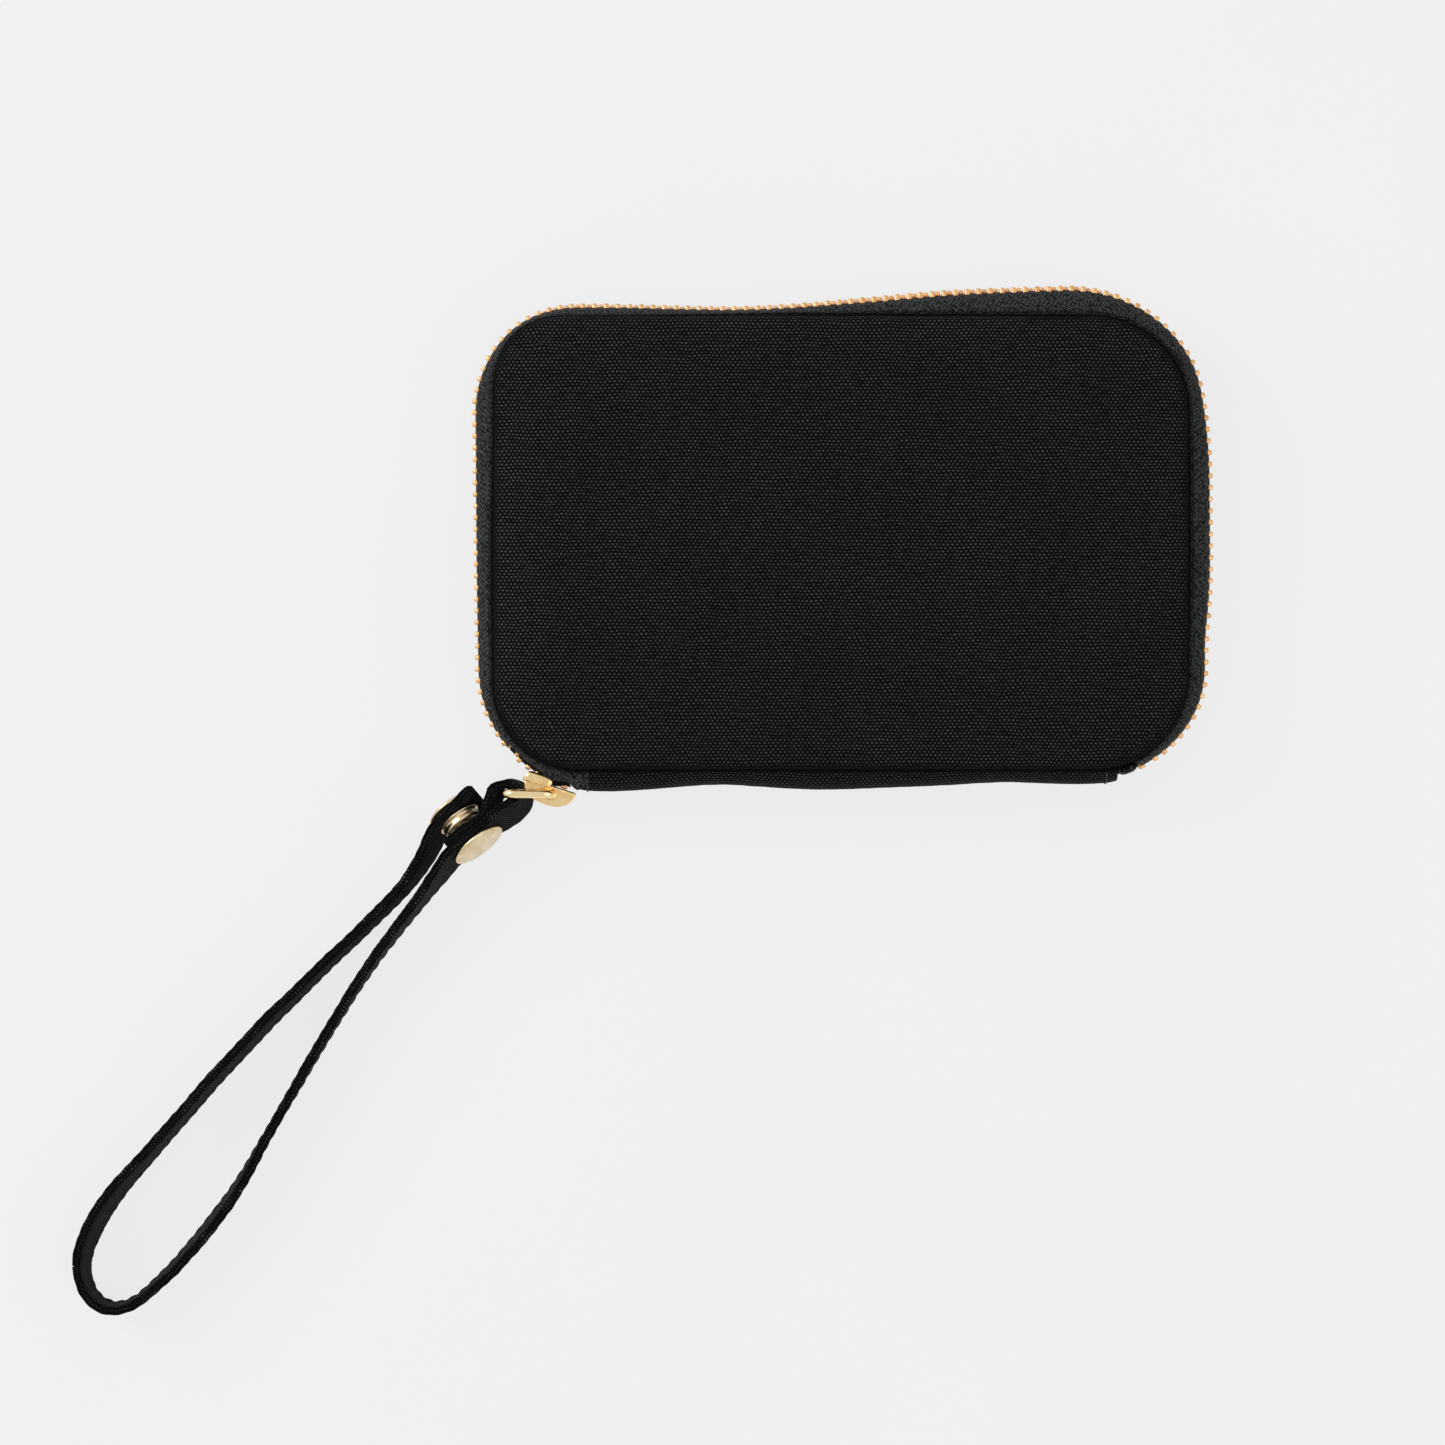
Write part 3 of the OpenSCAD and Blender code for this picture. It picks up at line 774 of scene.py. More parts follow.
def tooth_shape():
    """One brass tooth: legs over the tape's cord, shoulders, and a rounded head. Row z is at 0."""
    sections = [(-0.75, 0.65, 0.38), (-0.6, 0.95, 0.53), (-0.25, 1.1, 0.6), (0.9, 1.1, 0.6),
                (1.45, 1.08, 0.58), (1.75, 1.0, 0.5), (2.25, 0.95, 0.46), (2.6, 0.85, 0.4),
                (2.78, 0.55, 0.24)]
    count = 12
    angle = circle(count) + math.pi / count
    x, y = squared(np.cos(angle), 0.45), squared(np.sin(angle), 0.45)
    points = [(wx * a - TOOTH_DEPTH / 2, wy * b, z) for z, wx, wy in sections for a, b in zip(x, y)]
    return np.array(points), loft_faces(len(sections), count)


CHAIN_LINE = outline(CHAIN)
CHAIN_LINE = resample(CHAIN_LINE, even(distances(CHAIN_LINE[:, :2])[-1], 1.0))
sag(CHAIN_LINE[:, :2], CHAIN_LINE[:, 2])
CHAIN_LEN = distances(CHAIN_LINE[:, :2])[-1]
ROW_Z = MID_Z - 2.4
CORNER_R = CHAIN[0][2]


def arc(angle):
    """Distance along the chain from its left end to an angle of its first corner."""
    return CORNER_R * math.radians(CHAIN_LEFT - angle)


def chain_axes(at, side, shake=0.0):
    """Origins and axes (out, along, towards the other row) at distances along the chain."""
    rows = resample(CHAIN_LINE, at)
    angle = rows[:, 2] + shake * random.uniform(-1, 1, len(at))
    out = np.array([[*turn(a), 0] for a in angle])
    up = np.tile([0, 0, 1.0 if side == "back" else -1.0], (len(at), 1))
    along = np.cross(up, out)
    origins = np.column_stack([rows[:, :2], np.full(len(at), flip(ROW_Z, side))])
    return origins, np.stack([out, along, up], axis=1)


def teeth(name, side, first, last, replaced, body):
    at = np.arange(first, last, PITCH)
    origins, axes = chain_axes(at, side, shake=2.5)
    origins[:, 2] += random.uniform(-0.05, 0.05, len(at))
    if side == "back":
        # The lower row lies a little further in, except along the top edge.
        origins -= axes[:, 0] * (0.55 - 0.6 * clamp(axes[:, 0, 1:2]) ** 6)
    shape, faces = tooth_shape()
    obj = piece(name, *copies(shape, faces, origins, axes), BRASS, body=body, slot="teeth")
    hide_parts(replaced)


def rounded_box(size, bevel):
    """Points and faces of a box about the origin with bevelled edges."""
    bm = bmesh.new()
    bmesh.ops.create_cube(bm, size=1)
    bmesh.ops.scale(bm, vec=size, verts=bm.verts)
    bmesh.ops.bevel(bm, geom=bm.edges[:], offset=bevel, segments=3, profile=0.6, affect="EDGES")
    bm.verts.index_update()
    points = np.array([v.co for v in bm.verts])
    faces = [tuple(v.index for v in f.verts) for f in bm.faces]
    bm.free()
    return points, faces


def stops():
    box, faces = rounded_box((TOOTH_DEPTH + 0.1, 1.5, 2.7), 0.35)
    box = box + [-TOOTH_DEPTH / 2, 0, 1.1]
    obj = piece("bottom_stop_clip", *copies(box, faces, *chain_axes(np.array([CHAIN_LEN - 5.4]), "back")),
                BRASS, body="back_half", slot="teeth")
    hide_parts("zip_bottom_stop")
    box, faces = rounded_box((TOOTH_DEPTH, 1.6, 2.1), 0.35)
    box = box + [-TOOTH_DEPTH / 2, 0, 0.8]
    both = [np.concatenate(pair) for pair in zip(*(chain_axes(np.array([1.1]), side)
                                                   for side in ("back", "front")))]
    obj = piece("top_stop_clips", *copies(box, faces, *both), BRASS, body="back_half", slot="teeth")
    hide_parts("zip_top_stops")


def end_tab():
    """Folded cloth over the right end of the chain."""
    corner = CHAIN[3]
    angles = np.linspace(-65.5, -74.5, 10)
    height = smooth_line([(0.7, 4.6), (0.35, 7), (0.2, 11), (0.35, 15), (0.7, 17.2)], 5)
    rings, flat = [], []
    for angle in angles:
        soft = 0.5 * math.exp(-((angle + 65.5) / 1.2) ** 2) + 0.6 * math.exp(-((angle + 74.5) / 1.5) ** 2)
        outer = [[*on_corner(corner, angle, h[0] + soft), h[1]] for h in height]
        inner = [[*on_corner(corner, angle, h[0] + 1.1), h[1]] for h in height[::-1]]
        rings.append(outer + inner)
        run = [[math.radians(-angle) * corner[2], h[1], 0] for h in height]
        flat.append(run + run[::-1])
    obj = loft("end_tab_cloth", np.array(rings), TAPE, np.array(flat), body="back_half", slot="tape")
    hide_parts("zip_end_tab")


# ---- spine ----
# How far the spine canvas stands out of the covers along its length: x, bulge.
SPINE_BULGE = smooth_line([(-58, 4.3), (-52, 4.6), (-44, 4.3), (-31, 3.3), (-24, 3.2), (-13, 3.9),
                           (-3, 4.2), (12, 3.7), (22, 3.3), (35, 2.6), (45, 2.9), (53, 3.0), (60, 2.6)], 6)


def spine_section(x, skin):
    """Line from the back seam to the front seam at x: out of the covers, height."""
    bulge = np.interp(x, SPINE_BULGE[:, 0], SPINE_BULGE[:, 1]) - skin
    end = min(x - SPINE_LEFT, SPINE_RIGHT - x)
    bulge -= 0.35 * math.exp(-((end / 1.1) ** 2))
    low, high = 3.75 + 0.6 * skin, TOTAL_H - 3.75 - 0.6 * skin
    return smooth_line([(-0.5 - skin, low), (0.15 - skin, 4.35 + 0.4 * skin), (0.62 * bulge, 6.4),
                        (0.96 * bulge, 9.2), (bulge, MID_Z), (0.98 * bulge, TOTAL_H - 9.2),
                        (0.72 * bulge, TOTAL_H - 6.4), (0.15 - skin, TOTAL_H - 4.35 - 0.4 * skin),
                        (-0.5 - skin, high)], 4)


def spine_strip(name, start, stop, skin, thickness, material, slot):
    """Part of the spine between two shares of its section, as one closed strip."""
    xs = even(SPINE_RIGHT - SPINE_LEFT, 1.2) + SPINE_LEFT
    rings, flat = [], []
    for x in xs:
        outer = spine_section(x, skin)
        inner = spine_section(x, skin + thickness)
        keep = slice(int(start * (len(outer) - 1)), int(stop * (len(outer) - 1)) + 1)
        run, whole = distances(outer)[keep], distances(outer)[-1]
        outer, inner = outer[keep], inner[keep]
        crease = 0.06 * waves(x, 7.5, 41, outer[:, 1] * 2)
        ring = [[x, -HY - o - c, z] for (o, z), c in zip(outer, crease)]
        ring += [[x, -HY - o, z] for o, z in inner[::-1]]
        rings.append(ring)
        # Painted shade: the strip darkens towards black near both its seams.
        shade = 0.95 * clamp((1.5 - np.minimum(run, whole - run)) / 0.5)
        row = np.column_stack([np.full(len(run), x), run, shade])
        flat.append(np.vstack([row, row[::-1]]))
    return loft(name, np.array(rings), material, np.array(flat), slot=slot)


def spine():
    back = spine_strip("spine_canvas_back", 0, 0.5, 0, 1.0, CANVAS, "canvas")
    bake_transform(back)
    front = spine_strip("spine_canvas_front", 0.5, 1, 0, 1.0, CANVAS, "canvas")
    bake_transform(front)
    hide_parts("spine_gusset")
    inner = spine_strip("spine_lining_cloth", 0.15, 0.85, 1.0, 0.5, LINING, "lining")
    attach(inner, "spine")
    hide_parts("spine_lining")
    ends = []
    for x in (SPINE_LEFT + 2.4, SPINE_RIGHT - 2.4):
        line = spine_section(x, -0.04)[6:-3]
        path = np.column_stack([np.full(len(line), x), -HY - line[:, 0], line[:, 1]])
        at = np.arange(0.2, distances(path)[-1] - 1.2, 1.7)
        a, b = resample(path, at, 3), resample(path, at + 1.35, 3)
        ends.append((a, b))
    starts = np.vstack([a for a, _ in ends])
    stops_at = np.vstack([b for _, b in ends])
    none = np.zeros(len(starts))
    normals = unit(np.column_stack([none, none - 1, (starts[:, 2] - MID_Z) / 6]))
    stitches("spine_end_stitches", starts, stops_at, normals, 0.18, WORN_THREAD, body="spine")


# ---- slider, ring and snaps ----
def rounded(corners, radius, steps=6):
    """A polygon's outline with each corner turned into an arc of about that radius."""
    points = np.array(corners, float)
    radii = np.broadcast_to(radius, len(points))
    rows = []
    for before, here, after, r in zip(np.roll(points, 1, 0), points, np.roll(points, -1, 0), radii):
        a, b = unit(before - here), unit(after - here)
        half = math.acos(np.clip(a @ b, -1, 1)) / 2
        reach = min(r / math.tan(half), 0.49 * np.linalg.norm(before - here),
                    0.49 * np.linalg.norm(after - here))
        centre = here + unit(a + b) * reach / math.cos(half)
        first, last = here + a * reach - centre, here + b * reach - centre
        start, stop = math.atan2(first[1], first[0]), math.atan2(last[1], last[0])
        sweep = (stop - start + math.pi) % (2 * math.pi) - math.pi
        size = np.linalg.norm(first)
        for t in np.linspace(0, 1, steps):
            angle = start + sweep * t
            rows.append(centre + size * np.array([math.cos(angle), math.sin(angle)]))
    return rows


def slab(name, outlines, thickness, bevel, matrix, material, **rest):
    """A plate about its own plane with rounded edges; the outlines after the first are holes.

    Weighted normals keep its flat faces flat beside the rounded edges."""
    curve = bpy.data.curves.new(name + "_outline", "CURVE")
    curve.dimensions = "2D"
    curve.fill_mode = "BOTH"
    curve.extrude = thickness / 2 - bevel
    curve.bevel_depth = bevel
    curve.bevel_resolution = 3
    curve.offset = -bevel
    for line in outlines:
        spline = curve.splines.new("POLY")
        spline.points.add(len(line) - 1)
        spline.use_cyclic_u = True
        for point, (x, y) in zip(spline.points, line):
            point.co = (x, y, 0, 1)
    holder = bpy.data.objects.new(name + "_outline", curve)
    scene.collection.objects.link(holder)
    bpy.context.view_layer.update()
    source = bpy.data.meshes.new_from_object(holder.evaluated_get(bpy.context.evaluated_depsgraph_get()))
    bm = bmesh.new()
    bm.from_mesh(source)
    bmesh.ops.remove_doubles(bm, verts=bm.verts, dist=0.002)
    bmesh.ops.transform(bm, matrix=matrix, verts=bm.verts)
    bm.verts.index_update()
    points = [v.co[:] for v in bm.verts]
    faces = [tuple(v.index for v in f.verts) for f in bm.faces]
    bm.free()
    bpy.data.objects.remove(holder)
    obj = piece(name, points, faces, material, **rest)
    modifier = obj.modifiers.new("normals", "WEIGHTED_NORMAL")
    modifier.weight = 80
    modifier.keep_sharp = True
    return obj


SLIDER_ANGLE = 247
SLIDER = Matrix.Translation((CHAIN[0][0], CHAIN[0][1], 0)) @ Matrix.Rotation(
    math.radians(SLIDER_ANGLE), 4, "Z")
# The slider sits askew on the chain, turned a little about a point near its leading end.
ASKEW, PIVOT = 5, Vector((28.3, -4, 0))
SLIDER = SLIDER @ Matrix.Translation(PIVOT) @ Matrix.Rotation(
    math.radians(ASKEW), 4, "Z") @ Matrix.Translation(-PIVOT)
# Turns a plate drawn in y and z of the slider frame upright, facing out of the chain.
UPRIGHT = Matrix(((0, 0, 1, 0), (1, 0, 0, 0), (0, 1, 0, 0), (0, 0, 0, 1)))
HOLE, HOLE_R = (30.6, 0.0), 1.02


def bar(wide, long, tall):
    """Points and faces of a bar along y with an oval section and rounded ends."""
    rows, sides = 21, 20
    section = list(zip(squared(np.cos(circle(sides)), 0.7), squared(np.sin(circle(sides)), 0.8)))
    points = []
    for t in np.sin(np.radians(np.linspace(-88, 88, rows))):
        fat = (1 - abs(t) ** 5) ** 0.5
        points += [(wide / 2 * fat * a, long / 2 * t, tall / 2 * fat * b) for a, b in section]
    return np.array(points), loft_faces(rows, sides)


def slider():
    """Outer and inner wings, flanges and post, and the crown that holds the ring."""
    half = 4.3
    wing = rounded([(-6.8, -half + 0.9), (-0.6, -half), (2.6, -half + 0.5), (5.2, -2.0), (5.2, 2.0),
                    (2.6, half - 0.5), (-0.6, half), (-6.8, half - 0.9)], 1.2)
    wing = [(y, z + MID_Z) for y, z in wing]
    outer = slab("slider_outer_wing", [wing], 0.7, 0.28,
                 SLIDER @ Matrix.Translation((28.95, 0, 0)) @ UPRIGHT, GOLD, body="slider", slot="slider")
    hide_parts("slider_body")
    small = [(y * 0.72 - 0.75, (z - MID_Z) * 0.93 + MID_Z) for y, z in wing]
    slab("slider_inner_wing", [small], 0.9, 0.28,
         SLIDER @ Matrix.Translation((24.5, 0, 0)) @ UPRIGHT, GOLD, body="slider", slot="slider")
    flange, faces = bar(2.4, 6.2, 1.3)
    points, all_faces = [], []
    for sign in (-1, 1):
        all_faces += [tuple(v + len(points) * len(flange) for v in f) for f in faces]
        points.append(flange + [28.1, -3.35, MID_Z + sign * (half - 0.3)])
    post, faces = rounded_box((3.4, 1.8, 0.9), 0.3)
    all_faces += [tuple(v + 2 * len(flange) for v in f) for f in faces]
    points.append(post + [26.6, 1.9, MID_Z])
    placed = [SLIDER @ Vector(p) for p in np.vstack(points)]
    piece("slider_flanges", placed, all_faces, GOLD, body="slider", slot="slider")
    face = 28.75
    bow = smooth_line([(30.0, -6.15), (31.6, -5.5), (32.6, -3.4), (33.0, -0.8), (32.9, 1.6),
                       (32.1, 3.5), (30.8, 4.8), (29.5, 5.3)], 5)
    plate = [(face, -6.15), *map(tuple, bow), (face, 5.3)]
    hole = [(HOLE[0] + HOLE_R * math.cos(a), HOLE[1] + HOLE_R * math.sin(a)) for a in circle(40)]
    crown = slab("slider_crown_plate", [plate, hole], 2.2, 0.22,
                 SLIDER @ Matrix.Translation((0, 0, MID_Z)), GOLD, body="slider", slot="slider")
    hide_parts("slider_crown")


def ring():
    """Wire rectangle standing upright; its two ends meet in a fine joint at the bottom."""
    wire = 0.95
    bend = 2.2
    x0, x1 = RING_LOW[0] + wire, RING_HIGH[0] - wire
    z0, z1 = RING_LOW[2] + wire, RING_HIGH[2] - wire
    y = (RING_LOW[1] + RING_HIGH[1]) / 2
    line = np.array(rounded([(x0, z0), (x1, z0), (x1, z1), (x0, z1)], bend, 12))
    line = np.vstack([line, line[:1]])
    length = distances(line)[-1]
    rows = resample(line, even(length, 0.35, closed=True))
    ahead = unit(np.roll(rows, -1, 0) - np.roll(rows, 1, 0))
    gap = np.abs(rows[:, 0] - (x0 + x1) / 2 - 0.6) + np.abs(rows[:, 1] - z0)
    radius = wire - 0.13 * np.exp(-((gap / 0.22) ** 2))
    side, lift = (radius[:, None] * f(circle(20)) for f in (np.cos, np.sin))
    x, z = rows[:, :1], rows[:, 1:]
    # The ring stands a little back from the hole's middle, its top leaning further.
    rings = np.stack([x + ahead[:, 1:] * side, y + lift + 0.35 + 0.05 * (z - MID_Z),
                      z - ahead[:, :1] * side], axis=2)
    obj = loft("pull_ring_wire", rings, LIT_RING_GOLD, around=True, body="ring", slot="ring")
    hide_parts("pull_ring")


SNAP_AT = Vector((-80.2, -64.9, 10))
SNAP = Matrix.Translation(SNAP_AT) @ Matrix.Rotation(math.radians(-52), 4, "Z") @ Matrix.Rotation(
    math.radians(73), 4, "Y")


def lathe(name, profile, along, material, upside=1, steps=72, **rest):
    """A turned part about the snap's axis; the profile runs from the axis back to the axis."""
    rows = np.array(profile, float)
    inner = rows[1:-1]
    points = [(r * math.cos(a), r * math.sin(a), upside * z + along)
              for r, z in inner for a in circle(steps)]
    faces = loft_faces(len(inner), steps, ends=False)
    points += [(0, 0, upside * rows[0][1] + along), (0, 0, upside * rows[-1][1] + along)]
    low, high = len(points) - 2, len(points) - 1
    last = (len(inner) - 1) * steps
    for k in range(steps):
        m = (k + 1) % steps
        faces.append((low, m, k))
        faces.append((high, last + k, last + m))
    return piece(name, [SNAP @ Vector(p) for p in points], faces, material, **rest)


def cap_profile(radius, height):
    """Domed cap with a rolled rim."""
    dome = [(radius * 0.93 * math.cos(t), 0.62 + (height - 0.62) * math.sin(t) ** 0.9)
            for t in np.radians(np.linspace(4, 84, 14))]
    rim = [(radius - 0.28 + 0.28 * math.cos(t), 0.3 + 0.3 * math.sin(t))
           for t in np.radians(np.linspace(-90, 100, 10))]
    return [(0, 0.05), (radius * 0.55, 0.03), (radius * 0.85, 0.0)] + rim + dome + [(0, height)]


def snaps():
    """Both caps, and between the legs the stud and the socket with its two spring wires."""
    obj = lathe("snap_cap_outer", cap_profile(6.2, 1.2), 1.2, CHAMPAGNE, body="strap", slot="snap")
    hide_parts("snap_cap_long_leg")
    obj = lathe("snap_cap_free", cap_profile(5.75, 1.2), -8.5, CHAMPAGNE, upside=-1,
                body="strap_free_leg", slot="snap")
    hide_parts("snap_cap_snap_leg")
    stud = [(0, 0.62), (2.2, 0.62), (3.5, 0.62), (3.9, 0.5), (4.0, 0.3), (3.9, 0.1), (3.6, 0), (2.3, -0.02),
            (1.8, -0.2), (1.6, -0.5), (1.62, -0.75), (1.8, -1.0), (1.7, -1.25), (1.2, -1.4), (0, -1.42)]
    obj = lathe("snap_stud_post", stud, -3.5, CHAMPAGNE, body="strap", slot="snap")
    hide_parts("snap_stud")
    socket = [(0, 0), (4.6, 0), (4.85, 0.12), (4.95, 0.32), (4.85, 0.52), (4.6, 0.6), (4.4, 0.7),
              (4.4, 1.3), (4.5, 1.5), (4.6, 1.8), (4.5, 2.15), (4.2, 2.4), (3.8, 2.35), (3.4, 2.1),
              (3, 2.15), (2.7, 2.2), (2.5, 2), (2.45, 1.4), (2.5, 0.75), (0, 0.7)]
    obj = lathe("snap_socket_drum", socket, -6.2, CHAMPAGNE, body="strap_free_leg", slot="snap")
    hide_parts("snap_socket")
    wires = [[SNAP @ Vector((sign * (1.95 + 0.35 * t * t), 1.9 * t, -4.6)) for t in np.linspace(-1, 1, 9)]
             for sign in (-1, 1)]
    starts = np.array([p for wire in wires for p in wire[:-1]])
    ends = np.array([p for wire in wires for p in wire[1:]])
    normals = np.tile(np.array(SNAP.to_3x3() @ Vector((0, 0, 1))), (len(starts), 1))
    stitches("snap_spring_wires", starts, ends, normals, 0.16, CHAMPAGNE,
             body="strap_free_leg", slot="snap")


# ---- strap ----
# Ribbon routes: x, y, height of the middle, lean of the upper edge to the upper left.
LONG_LEG = [(-75.5, -61.2, 10, 17), (-80.2, -64.9, 10, 17), (-84.9, -68.65, 9.8, 17),
            (-88.8, -73.7, 8.8, 12), (-92.9, -79, 7.8, 7), (-102.5, -91.5, 6.6, 3), (-110.9, -104.5, 6, 1),
            (-118.9, -118, 5.9, 0), (-126.4, -131, 5.9, -3), (-131.5, -140, 5.9, -6),
            (-137.5, -148.5, 5.9, -8), (-144.8, -157.2, 5.9, -6), (-150.3, -162.7, 5.9, -4),
            (-154.5, -166.1, 5.9, -2), (-158.4, -167.6, 5.9, -1), (-162.1, -166.8, 5.9, -2),
            (-164.8, -164.2, 5.9, -4), (-166, -161, 5.9, -6), (-166.3, -158, 5.9, -8)]
SNAP_LEG = [(-166.3, -158, 5.9, -8), (-165.9, -155, 5.9, -10), (-164.8, -152, 5.9, -12),
            (-162.6, -147.5, 5.9, -13), (-157.2, -140, 5.9, -11), (-149.2, -131, 5.9, -8),
            (-137.9, -118, 5.9, -8), (-125.3, -104.5, 5.9, -8), (-112.1, -91.5, 5.9, -6),
            (-97.9, -77.7, 6.2, -7), (-91.3, -69.2, 6.9, -12), (-88.5, -63.7, 7.7, -16),
            (-84.54, -59.35, 7.85, -18), (-79.2, -55.2, 7.85, -29)]
TAB = [(-85.7, -66.9, 9.4, -17), (-81.3, -63.45, 9.45, -17), (-78.4, -61.2, 9.3, -17),
       (-76.7, -58.9, 8.8, -15), (-76.1, -56.2, 8.3, -13), (-75.4, -53.9, 8.1, -9), (-73.8, -52.7, 8, 0),
       (-71.8, -52.7, 8, 2), (-70.2, -53.8, 8, 8), (-69.6, -55.6, 8.2, 15), (-70.5, -57.5, 8.8, 21),
       (-72.6, -59.2, 9.3, 24), (-75.2, -60.9, 9.7, 22), (-77.4, -62.5, 9.9, 18)]


class Ribbon:
    """A folded cloth strip standing on its edge along a route.

    free_ends says of its start and its end whether it is a free, rounded end or joins another ribbon."""

    FAR = 9.0

    def __init__(self, route, thickness, seed, free_ends):
        line = smooth_line(route, 8)
        done = distances(line[:, :3])
        self.length = done[-1]
        self.at = even(self.length, 0.8)
        rows = resample(line, self.at, 3)
        ahead = np.gradient(rows[:, :2], axis=0)
        ahead = unit(ahead)
        side = np.column_stack([ahead[:, 1], -ahead[:, 0], np.zeros(len(rows))])
        lean = np.radians(rows[:, 3])[:, None]
        up = np.array([0, 0, 1.0])
        self.up = np.cos(lean) * up + np.sin(lean) * side
        self.out = np.cos(lean) * side - np.sin(lean) * up
        self.centre = rows[:, :3]
        self.half = thickness / 2
        self.seed = seed
        self.free_ends = free_ends

    def surface(self, at, out, v):
        """Points at distances along the ribbon, out of its middle, and up its width."""
        columns = [np.interp(at, self.at, part[:, k]) for part in (self.centre, self.out, self.up)
                   for k in range(3)]
        centre, side, up = (np.stack(columns[i : i + 3], axis=-1) for i in (0, 3, 6))
        edge = (2 * np.abs(v) / STRAP_W) ** 4
        top = clamp(v / STRAP_W * 2) ** 3
        gone, left = at, self.length - at
        joint = left if self.free_ends[0] else gone
        joined = clamp((self.FAR if all(self.free_ends) else joint) / 4)
        edge, top = edge * joined, top * joined
        pucker = 0.09 * np.sin(2 * math.pi * at / 3.05) * edge + 0.16 * waves(at, 17, self.seed) * edge
        bump = 0.3 * clamp(waves(at, 5.3, self.seed + 1) - 0.55) * top
        start = gone if self.free_ends[0] else self.FAR
        end = left if self.free_ends[1] else self.FAR
        near = clamp(np.minimum(start, end) / 1.6)
        round_end = np.sqrt(np.clip(1 - (1 - near) ** 2, 0.02, 1))
        out = (out + pucker + bump * np.sign(out)) * (0.35 + 0.65 * round_end)
        v = v * (0.8 + 0.2 * round_end)
        v = v + (0.1 * waves(at, 6.5, self.seed + 2) + bump * 0.5 - 0.15) * edge * np.sign(v)
        return centre + side * out[..., None] + up * v[..., None]

    def thickness_at(self, v):
        """Half thickness at a height: pressed in along the two rows of stitches."""
        groove = np.exp(-(((np.abs(v) - (STRAP_W / 2 - 1.5)) / 0.4) ** 2))
        return self.half * (1 - 0.16 * groove - 0.06 * np.cos(2 * math.pi * v / STRAP_W))


def ribbon_section(ribbon):
    """Out and up of points round the strip: a fold below and two turned lips above."""
    w, h = STRAP_W / 2, ribbon.half
    fold = np.radians([18, 40, 62, 80])
    v = np.concatenate([-w + h * (1 - np.cos(fold)), np.linspace(-w + h + 0.4, w - h - 0.2, 15)])
    wide = ribbon.thickness_at(v)
    wide[v < -w + h] = h * np.sin(fold) * 0.95
    lip = h / 2
    right = [(lip + lip * math.cos(a), w - lip + lip * math.sin(a))
             for a in np.radians([0, 35, 70, 105, 140, 165])]
    left = [(-o, t) for o, t in right[::-1]]
    face = list(zip(wide, v))
    back = [(-o, t) for o, t in face[::-1]]
    return np.array([(0, -w)] + face + right + left + back)


def ribbon_piece(name, route, thickness, seed, body, free_ends, replaced):
    ribbon = Ribbon(route, thickness, seed, free_ends)
    section = ribbon_section(ribbon)
    at, out = np.meshgrid(ribbon.at, section[:, 0], indexing="ij")
    _, v = np.meshgrid(ribbon.at, section[:, 1], indexing="ij")
    rings = ribbon.surface(at, out, v)
    flat = np.stack([at, v + 15.0 * (out < 0), np.zeros_like(at)], axis=2)
    obj = loft(name, rings, STRAP_CLOTH, flat, slot="strap")
    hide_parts(replaced)
    starts, ends, normals = [], [], []
    at = np.arange(1.0, ribbon.length - 3.5, 3.05)
    for face in (-1, 1):
        for row in (-1, 1):
            v = np.full(len(at), row * (STRAP_W / 2 - 1.5))
            out = face * (ribbon.thickness_at(v) + 0.02)
            a, b = ribbon.surface(at, out, v), ribbon.surface(at + 2.5, out, v)
            starts.append(a)
            ends.append(b)
            normals.append(ribbon.surface(at + 1.2, out + face, v) - ribbon.surface(at + 1.2, out, v))
    thread_row = stitches(name + "_stitches", np.vstack(starts), np.vstack(ends),
                          unit(np.vstack(normals)), 0.17, THREAD)
    if body:
        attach(obj, body)
        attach(thread_row, body)
    return obj, thread_row


def strap():
    ribbon_piece("strap_tab_ribbon", TAB, TAB_T, 51, "strap", (True, True), "strap_tab_loop")
    ribbon_piece("strap_long_ribbon", LONG_LEG, STRAP_T, 61, "strap", (True, False), "strap_long_leg")
    bending = ribbon_piece("strap_snap_ribbon", SNAP_LEG, STRAP_T, 71, None, (False, True),
                           "strap_snap_leg")
    for part in bending:
        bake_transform(part)


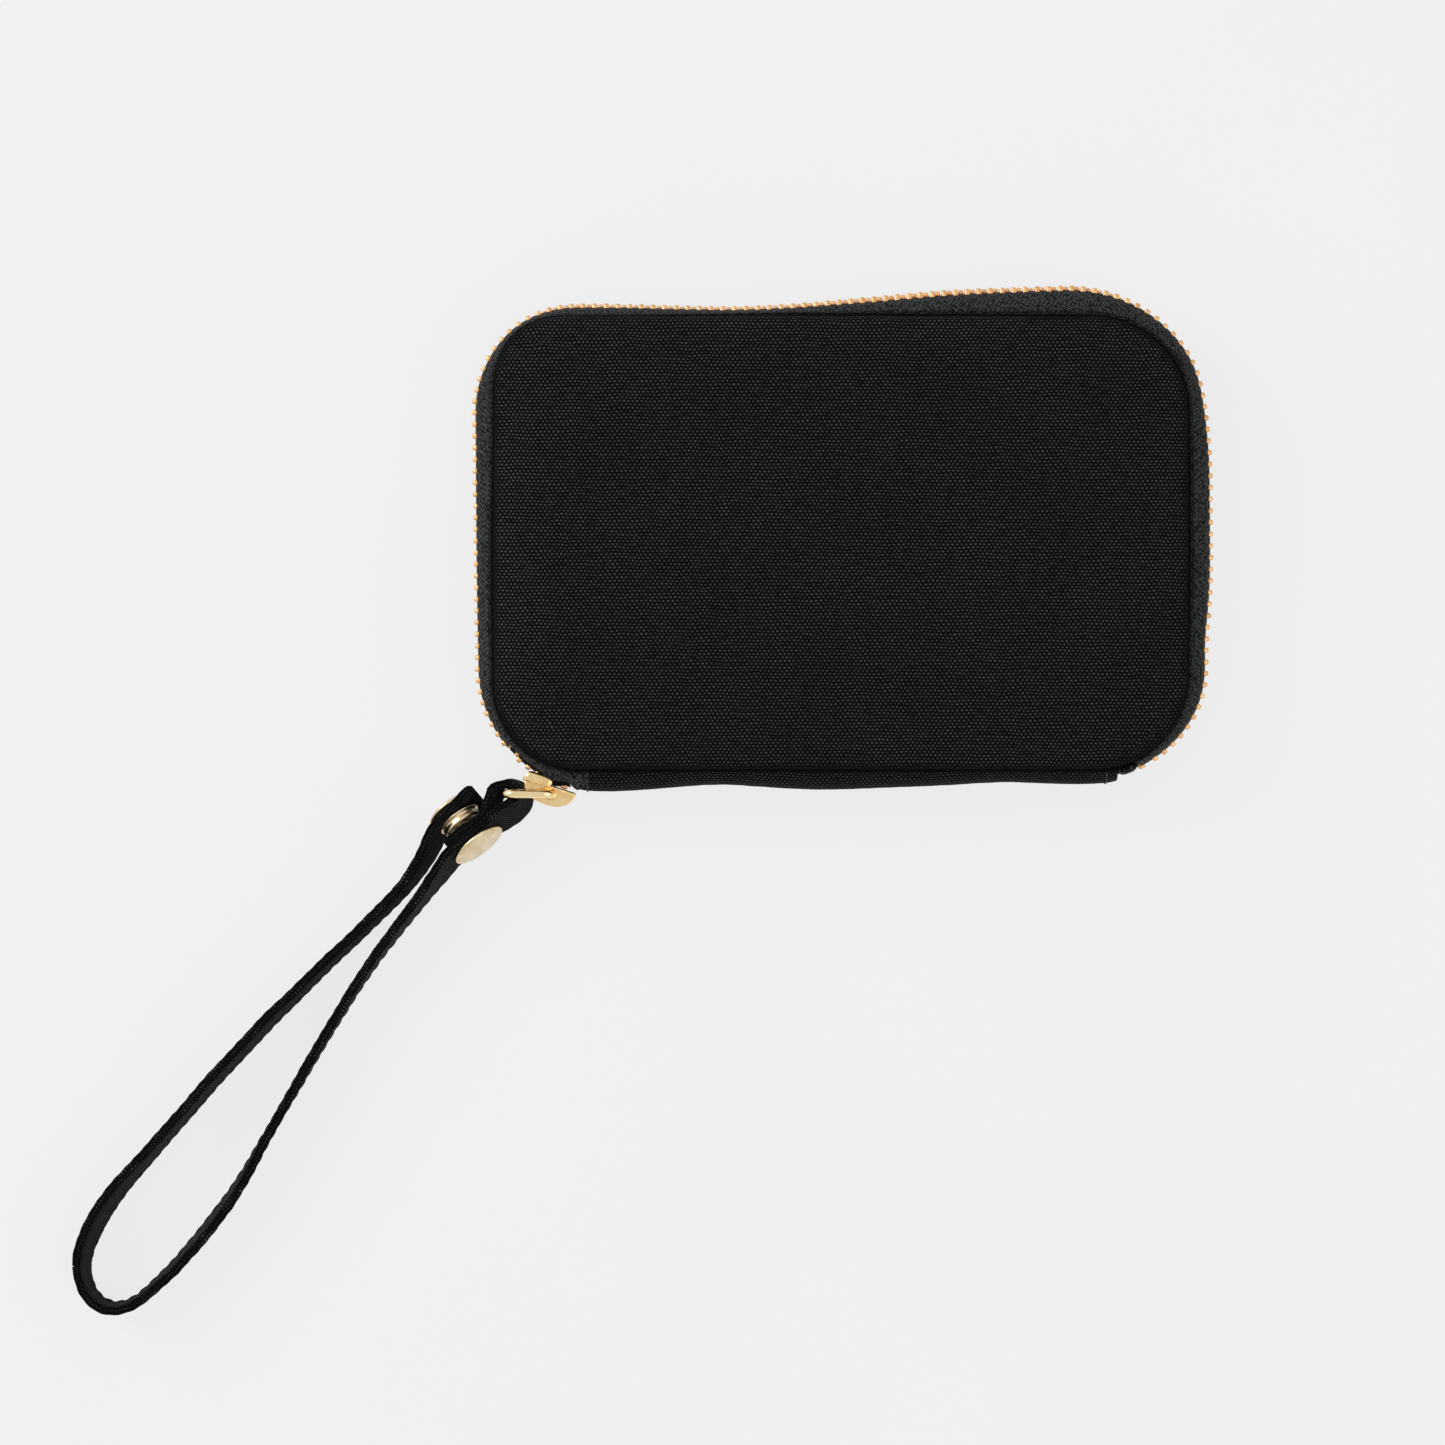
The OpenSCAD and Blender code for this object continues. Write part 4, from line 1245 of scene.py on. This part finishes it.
# ---- stage: camera, floor and light ----
def stage():
    width, distance = 315.3, 1400.0
    camera = bpy.data.cameras.new("camera")
    camera.sensor_width = 36.0
    camera.lens = camera.sensor_width * distance / width
    camera.clip_end = 20
    holder = bpy.data.objects.new("camera", camera)
    holder.location = Vector((-26.1, -39.3, distance + MID_Z)) * MM
    scene.collection.objects.link(holder)
    scene.camera = holder
    scene.view_settings.view_transform = "Standard"

    g = Graph("pale_floor", Specular_IOR_Level=0.0)
    cloud = g.noise(g.place(), 0.01, 2)
    floor_material = g.finish(g.mix(cloud, (0.075, 0.075, 0.075), (0.085, 0.085, 0.085)), 1.0)
    g.shader.inputs["Emission Color"].default_value = (1, 1, 1, 1)
    g.shader.inputs["Emission Strength"].default_value = 0.787
    mesh = bpy.data.meshes.new("floor")
    half = 4.0
    corners = [(-half, -half, 0), (half, -half, 0), (half, half, 0), (-half, half, 0)]
    mesh.from_pydata(corners, [], [(0, 1, 2, 3)])
    mesh.materials.append(floor_material)
    floor = bpy.data.objects.new("floor", mesh)
    floor.location.z = -0.05 * MM
    scene.collection.objects.link(floor)

    world = bpy.data.worlds.new("studio")
    world.use_nodes = True
    world.node_tree.nodes["Background"].inputs["Color"].default_value = (1, 1, 1, 1)
    world.node_tree.nodes["Background"].inputs["Strength"].default_value = 0.72
    scene.world = world
    for name, place, side, energy in (
        ("key", (-0.9, 0.45, 0.65), 0.6, 8.5),
        ("fill", (0.7, -0.4, 0.9), 0.9, 2.5),
    ):
        light = bpy.data.lights.new(name, "AREA")
        light.shape = "SQUARE"
        light.size = side
        light.energy = energy
        lamp = bpy.data.objects.new(name, light)
        lamp.location = place
        lamp.rotation_euler = (-Vector(place)).to_track_quat("-Z", "Y").to_euler()
        scene.collection.objects.link(lamp)


stage()
for half_name in ("back", "front"):
    cover(half_name)
    lining(half_name)
    binding(half_name)
tapes()
teeth("back_teeth_row", "back", 1.5 * PITCH, CHAIN_LEN - 7, "back_zip_teeth", "back_half")
first_front = math.ceil(arc(FRONT_LEFT) / PITCH) * PITCH
teeth("front_teeth_row", "front", first_front, CHAIN_LEN - 7, "front_zip_teeth", "front_half")
teeth("tail_teeth_row", "front", PITCH + 0.1, arc(TAIL_ANGLE) - 0.6, "front_end_teeth", "back_half")
stops()
end_tab()
spine()
slider()
ring()
strap()
snaps()
